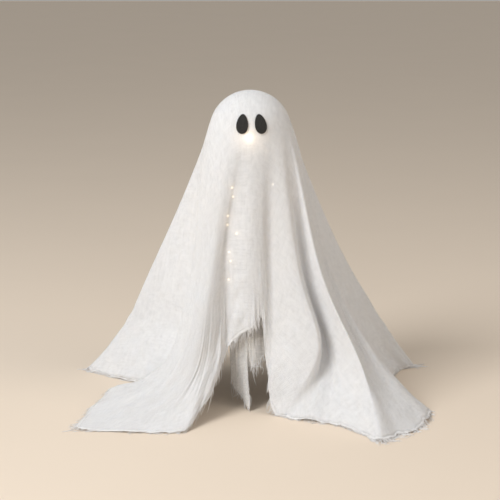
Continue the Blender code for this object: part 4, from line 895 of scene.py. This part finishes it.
class GHOST_OT_under_cloth(bpy.types.Operator):
    """Makes the open ply of gauze behind the raised front hem"""
    bl_idname = "ghost.under_cloth"
    bl_label = "Under cloth"

    def execute(self, context):
        cloth = context.scene.ghost_cloth
        grid = under_grid(cloth)
        run = np.cumsum(np.linalg.norm(np.diff(grid, axis=0, prepend=grid[:1]), axis=2), axis=0)
        side = np.cumsum(np.linalg.norm(np.diff(grid, axis=1, prepend=grid[:, :1]), axis=2), axis=1)
        mesh = grid_mesh("under_cloth", grid, False, None, np.stack([side, -run], axis=-1))
        finish = gauze("Open gauze", cloth.thin_colour, cloth.pitch * 1.15, 0.78, 3)
        obj = show("under_cloth", mesh, finish, "gauze_underlayer")
        thicken(obj, cloth.thickness * 0.8)
        return {"FINISHED"}


class GHOST_OT_threads(bpy.types.Operator):
    """Makes the loose threads of the raw hems"""
    bl_idname = "ghost.threads"
    bl_label = "Loose threads"

    def execute(self, context):
        cloth = context.scene.ghost_cloth
        rng = np.random.default_rng(cloth.seed + 2)
        grid, _ = drape_grid(cloth)
        paths = [hem_threads(cloth, grid, True, 1500, rng, (0.0, 1.0)),
                 hem_threads(cloth, under_grid(cloth), False, 110, rng, (0.0, 1.0))]
        for fold, (reach, count, longer) in TUFTS.items():
            at = [line[0] for line in FOLDS].index(fold)
            spread = ((at - reach) / len(FOLDS), (at + reach) / len(FOLDS))
            paths.append(hem_threads(cloth, grid, True, count, rng, spread, longer))
        paths = np.concatenate(paths)
        finish, tree, shader = new_finish("Loose thread", cloth.colour, 0.9)
        where = own_place(tree)
        tint(tree, shader, blotches(tree, where, 0.003), 0.86, 1.05)
        relief(tree, shader, blotches(tree, where, 0.0004), 0.0001)
        show("hem_threads", strand_mesh("hem_threads", paths, cloth.thread_radius), finish)
        lines = hem_lines(cloth, grid, 170, rng)
        show("hem_lines", strand_mesh("hem_lines", lines, cloth.thread_radius), finish)
        return {"FINISHED"}


class GHOST_OT_eyes(bpy.types.Operator):
    """Makes the two felt eyes"""
    bl_idname = "ghost.eyes"
    bl_label = "Eyes"

    def execute(self, context):
        felt = context.scene.ghost_felt
        finish = felt_finish(felt)
        rng = np.random.default_rng(3)
        for name, (turn, lean) in EYES.items():
            grid = eye_grid(felt, turn, lean, rng)
            show("felt_" + name, closed_mesh("felt_" + name, grid), finish, name)
        return {"FINISHED"}


class GHOST_OT_shells(bpy.types.Operator):
    """Finishes the head, its plate, the column, the battery housing and its door"""
    bl_idname = "ghost.shells"
    bl_label = "Moulded shells"

    def execute(self, context):
        shell, lights = context.scene.ghost_shells, context.scene.ghost_lights
        # the head shell gets the lamp's glow painted in as emission
        dress(milk_finish(shell, lights, "Lit moulding", True), "head_shell")
        dress(milk_finish(shell, lights), "head_base_plate", "light_column", "battery_housing",
              "battery_door", "lamp_post", "string_anchor")
        return {"FINISHED"}


class GHOST_OT_legs(bpy.types.Operator):
    """Finishes the wire legs, their feet, the screws and the hinge pin"""
    bl_idname = "ghost.legs"
    bl_label = "Legs and screws"

    def execute(self, context):
        shell = context.scene.ghost_shells
        dress(wire_finish("Drawn steel", shell.steel, 0.36, 0.0009),
              *named("leg_", "base_plate_screw", "door_screw", "hinge_pin"))
        dress(dull_finish("Rubber", (0.05, 0.05, 0.05), 0.8, 0.0007, 0.00008), *named("foot_"))
        return {"FINISHED"}


class GHOST_OT_lights(bpy.types.Operator):
    """Finishes the lamp, the small lights and their wires"""
    bl_idname = "ghost.lights"
    bl_label = "Lights"

    def execute(self, context):
        lights = context.scene.ghost_lights
        dress(light_finish("Lit drop", lights, lights.bead), *named("led_bead"))
        dress(light_finish("Lit lamp", lights, lights.bead), "head_lamp")
        dress(wire_finish("Lacquered copper", (0.72, 0.45, 0.30), 0.35, 0.0006),
              "light_string", "lamp_lead")
        return {"FINISHED"}


class GHOST_OT_battery(bpy.types.Operator):
    """Finishes the cells, their contacts and springs, the circuit board and the switch"""
    bl_idname = "ghost.battery"
    bl_label = "Cells, board and switch"

    def execute(self, context):
        shell = context.scene.ghost_shells
        dress(cell_finish(shell), *named("battery_cell"))
        dress(wire_finish("Nickel", (0.70, 0.69, 0.66), 0.28, 0.0012), *named("contact_"))
        dress(board_finish(shell), "circuit_board")
        dress(wire_finish("Switch case", shell.steel, 0.4, 0.001), "switch_body")
        dress(dull_finish("Black plastic", (0.03, 0.03, 0.03), 0.5, 0.0005, 0.00004), "switch_slider")
        return {"FINISHED"}


class GHOST_OT_stage(bpy.types.Operator):
    """Makes the floor, the soft lamps and the camera"""
    bl_idname = "ghost.stage"
    bl_label = "Floor, light and camera"

    def execute(self, context):
        stage = context.scene.ghost_stage
        scene = context.scene
        scene.view_settings.view_transform = "Standard"
        side = np.linspace(-9.0, 9.0, 13)
        x, y = np.meshgrid(side, side)
        mesh = grid_mesh("floor", np.stack([x, -y, 0 * x], axis=-1) - AXIS, False)
        floor = bpy.data.objects.new("floor", mesh)
        scene.collection.objects.link(floor)
        finish, tree, shader = new_finish("Pale floor", stage.floor, 0.85)
        where = own_place(tree)
        tint(tree, shader, blotches(tree, where, 0.25), 0.985, 1.015)
        mesh.materials.append(finish)
        world = bpy.data.worlds.new("Soft room")
        scene.world = world
        world.use_nodes = True
        back = world.node_tree.nodes["Background"]
        back.inputs["Color"].default_value = (1.0, 0.985, 0.965, 1.0)
        back.inputs["Strength"].default_value = stage.fill
        for name, place, size, power, colour in (
                ("key", (-1.7, -1.6, 1.9), 1.5, stage.key, (1.0, 1.0, 1.0)),
                ("side", (1.9, -1.0, 1.5), 1.6, stage.key * 0.18, (1.0, 0.88, 0.76))):
            data = bpy.data.lights.new(name, "AREA")
            data.shape, data.size, data.energy, data.color = "DISK", size, power, colour
            lamp = bpy.data.objects.new(name, data)
            lamp.location = place
            look = Vector(stage.aim) - Vector(place)
            lamp.rotation_euler = look.to_track_quat("-Z", "Y").to_euler()
            scene.collection.objects.link(lamp)
        data = bpy.data.cameras.new("camera")
        data.lens, data.sensor_width = stage.lens, 36.0
        camera = bpy.data.objects.new("camera", data)
        back_way = Vector((0.0, -math.cos(stage.rise), math.sin(stage.rise)))
        camera.location = Vector(stage.aim) + back_way * stage.distance
        camera.rotation_euler = (-back_way).to_track_quat("-Z", "Y").to_euler()
        scene.collection.objects.link(camera)
        scene.camera = camera
        return {"FINISHED"}


class GHOST_PT_panel(bpy.types.Panel):
    """Lists the pieces and their sizes"""
    bl_idname = "GHOST_PT_panel"
    bl_label = "Lighted ghost"
    bl_space_type = "VIEW_3D"
    bl_region_type = "UI"
    bl_category = "Ghost"

    def draw(self, context):
        for title, group in GROUPS.items():
            box = self.layout.box()
            box.label(text=title)
            for name in group[1].__annotations__:
                box.prop(getattr(context.scene, group[0]), name)
        for operator in OPERATORS:
            self.layout.operator(operator.bl_idname)


GROUPS = {"Cloth": ("ghost_cloth", ClothSizes), "Eyes": ("ghost_felt", FeltSizes),
          "Lights": ("ghost_lights", LightSizes), "Shells": ("ghost_shells", ShellColours),
          "Stage": ("ghost_stage", StageSizes)}
OPERATORS = (GHOST_OT_drape, GHOST_OT_under_cloth, GHOST_OT_threads, GHOST_OT_eyes, GHOST_OT_shells,
             GHOST_OT_legs, GHOST_OT_lights, GHOST_OT_battery, GHOST_OT_stage)


def register():
    """Adds the sizes, the operators and the panel to Blender."""
    for attribute, kind in GROUPS.values():
        bpy.utils.register_class(kind)
        setattr(bpy.types.Scene, attribute, bpy.props.PointerProperty(type=kind))
    for kind in (*OPERATORS, GHOST_PT_panel):
        bpy.utils.register_class(kind)


def unregister():
    """Takes them away again."""
    for kind in (GHOST_PT_panel, *reversed(OPERATORS)):
        bpy.utils.unregister_class(kind)
    for attribute, kind in GROUPS.values():
        delattr(bpy.types.Scene, attribute)
        bpy.utils.unregister_class(kind)


def main():
    """Makes every piece in order."""
    register()
    for operator in OPERATORS:
        getattr(bpy.ops.ghost, operator.bl_idname.split(".")[1])()


if __name__ == "__main__":
    main()
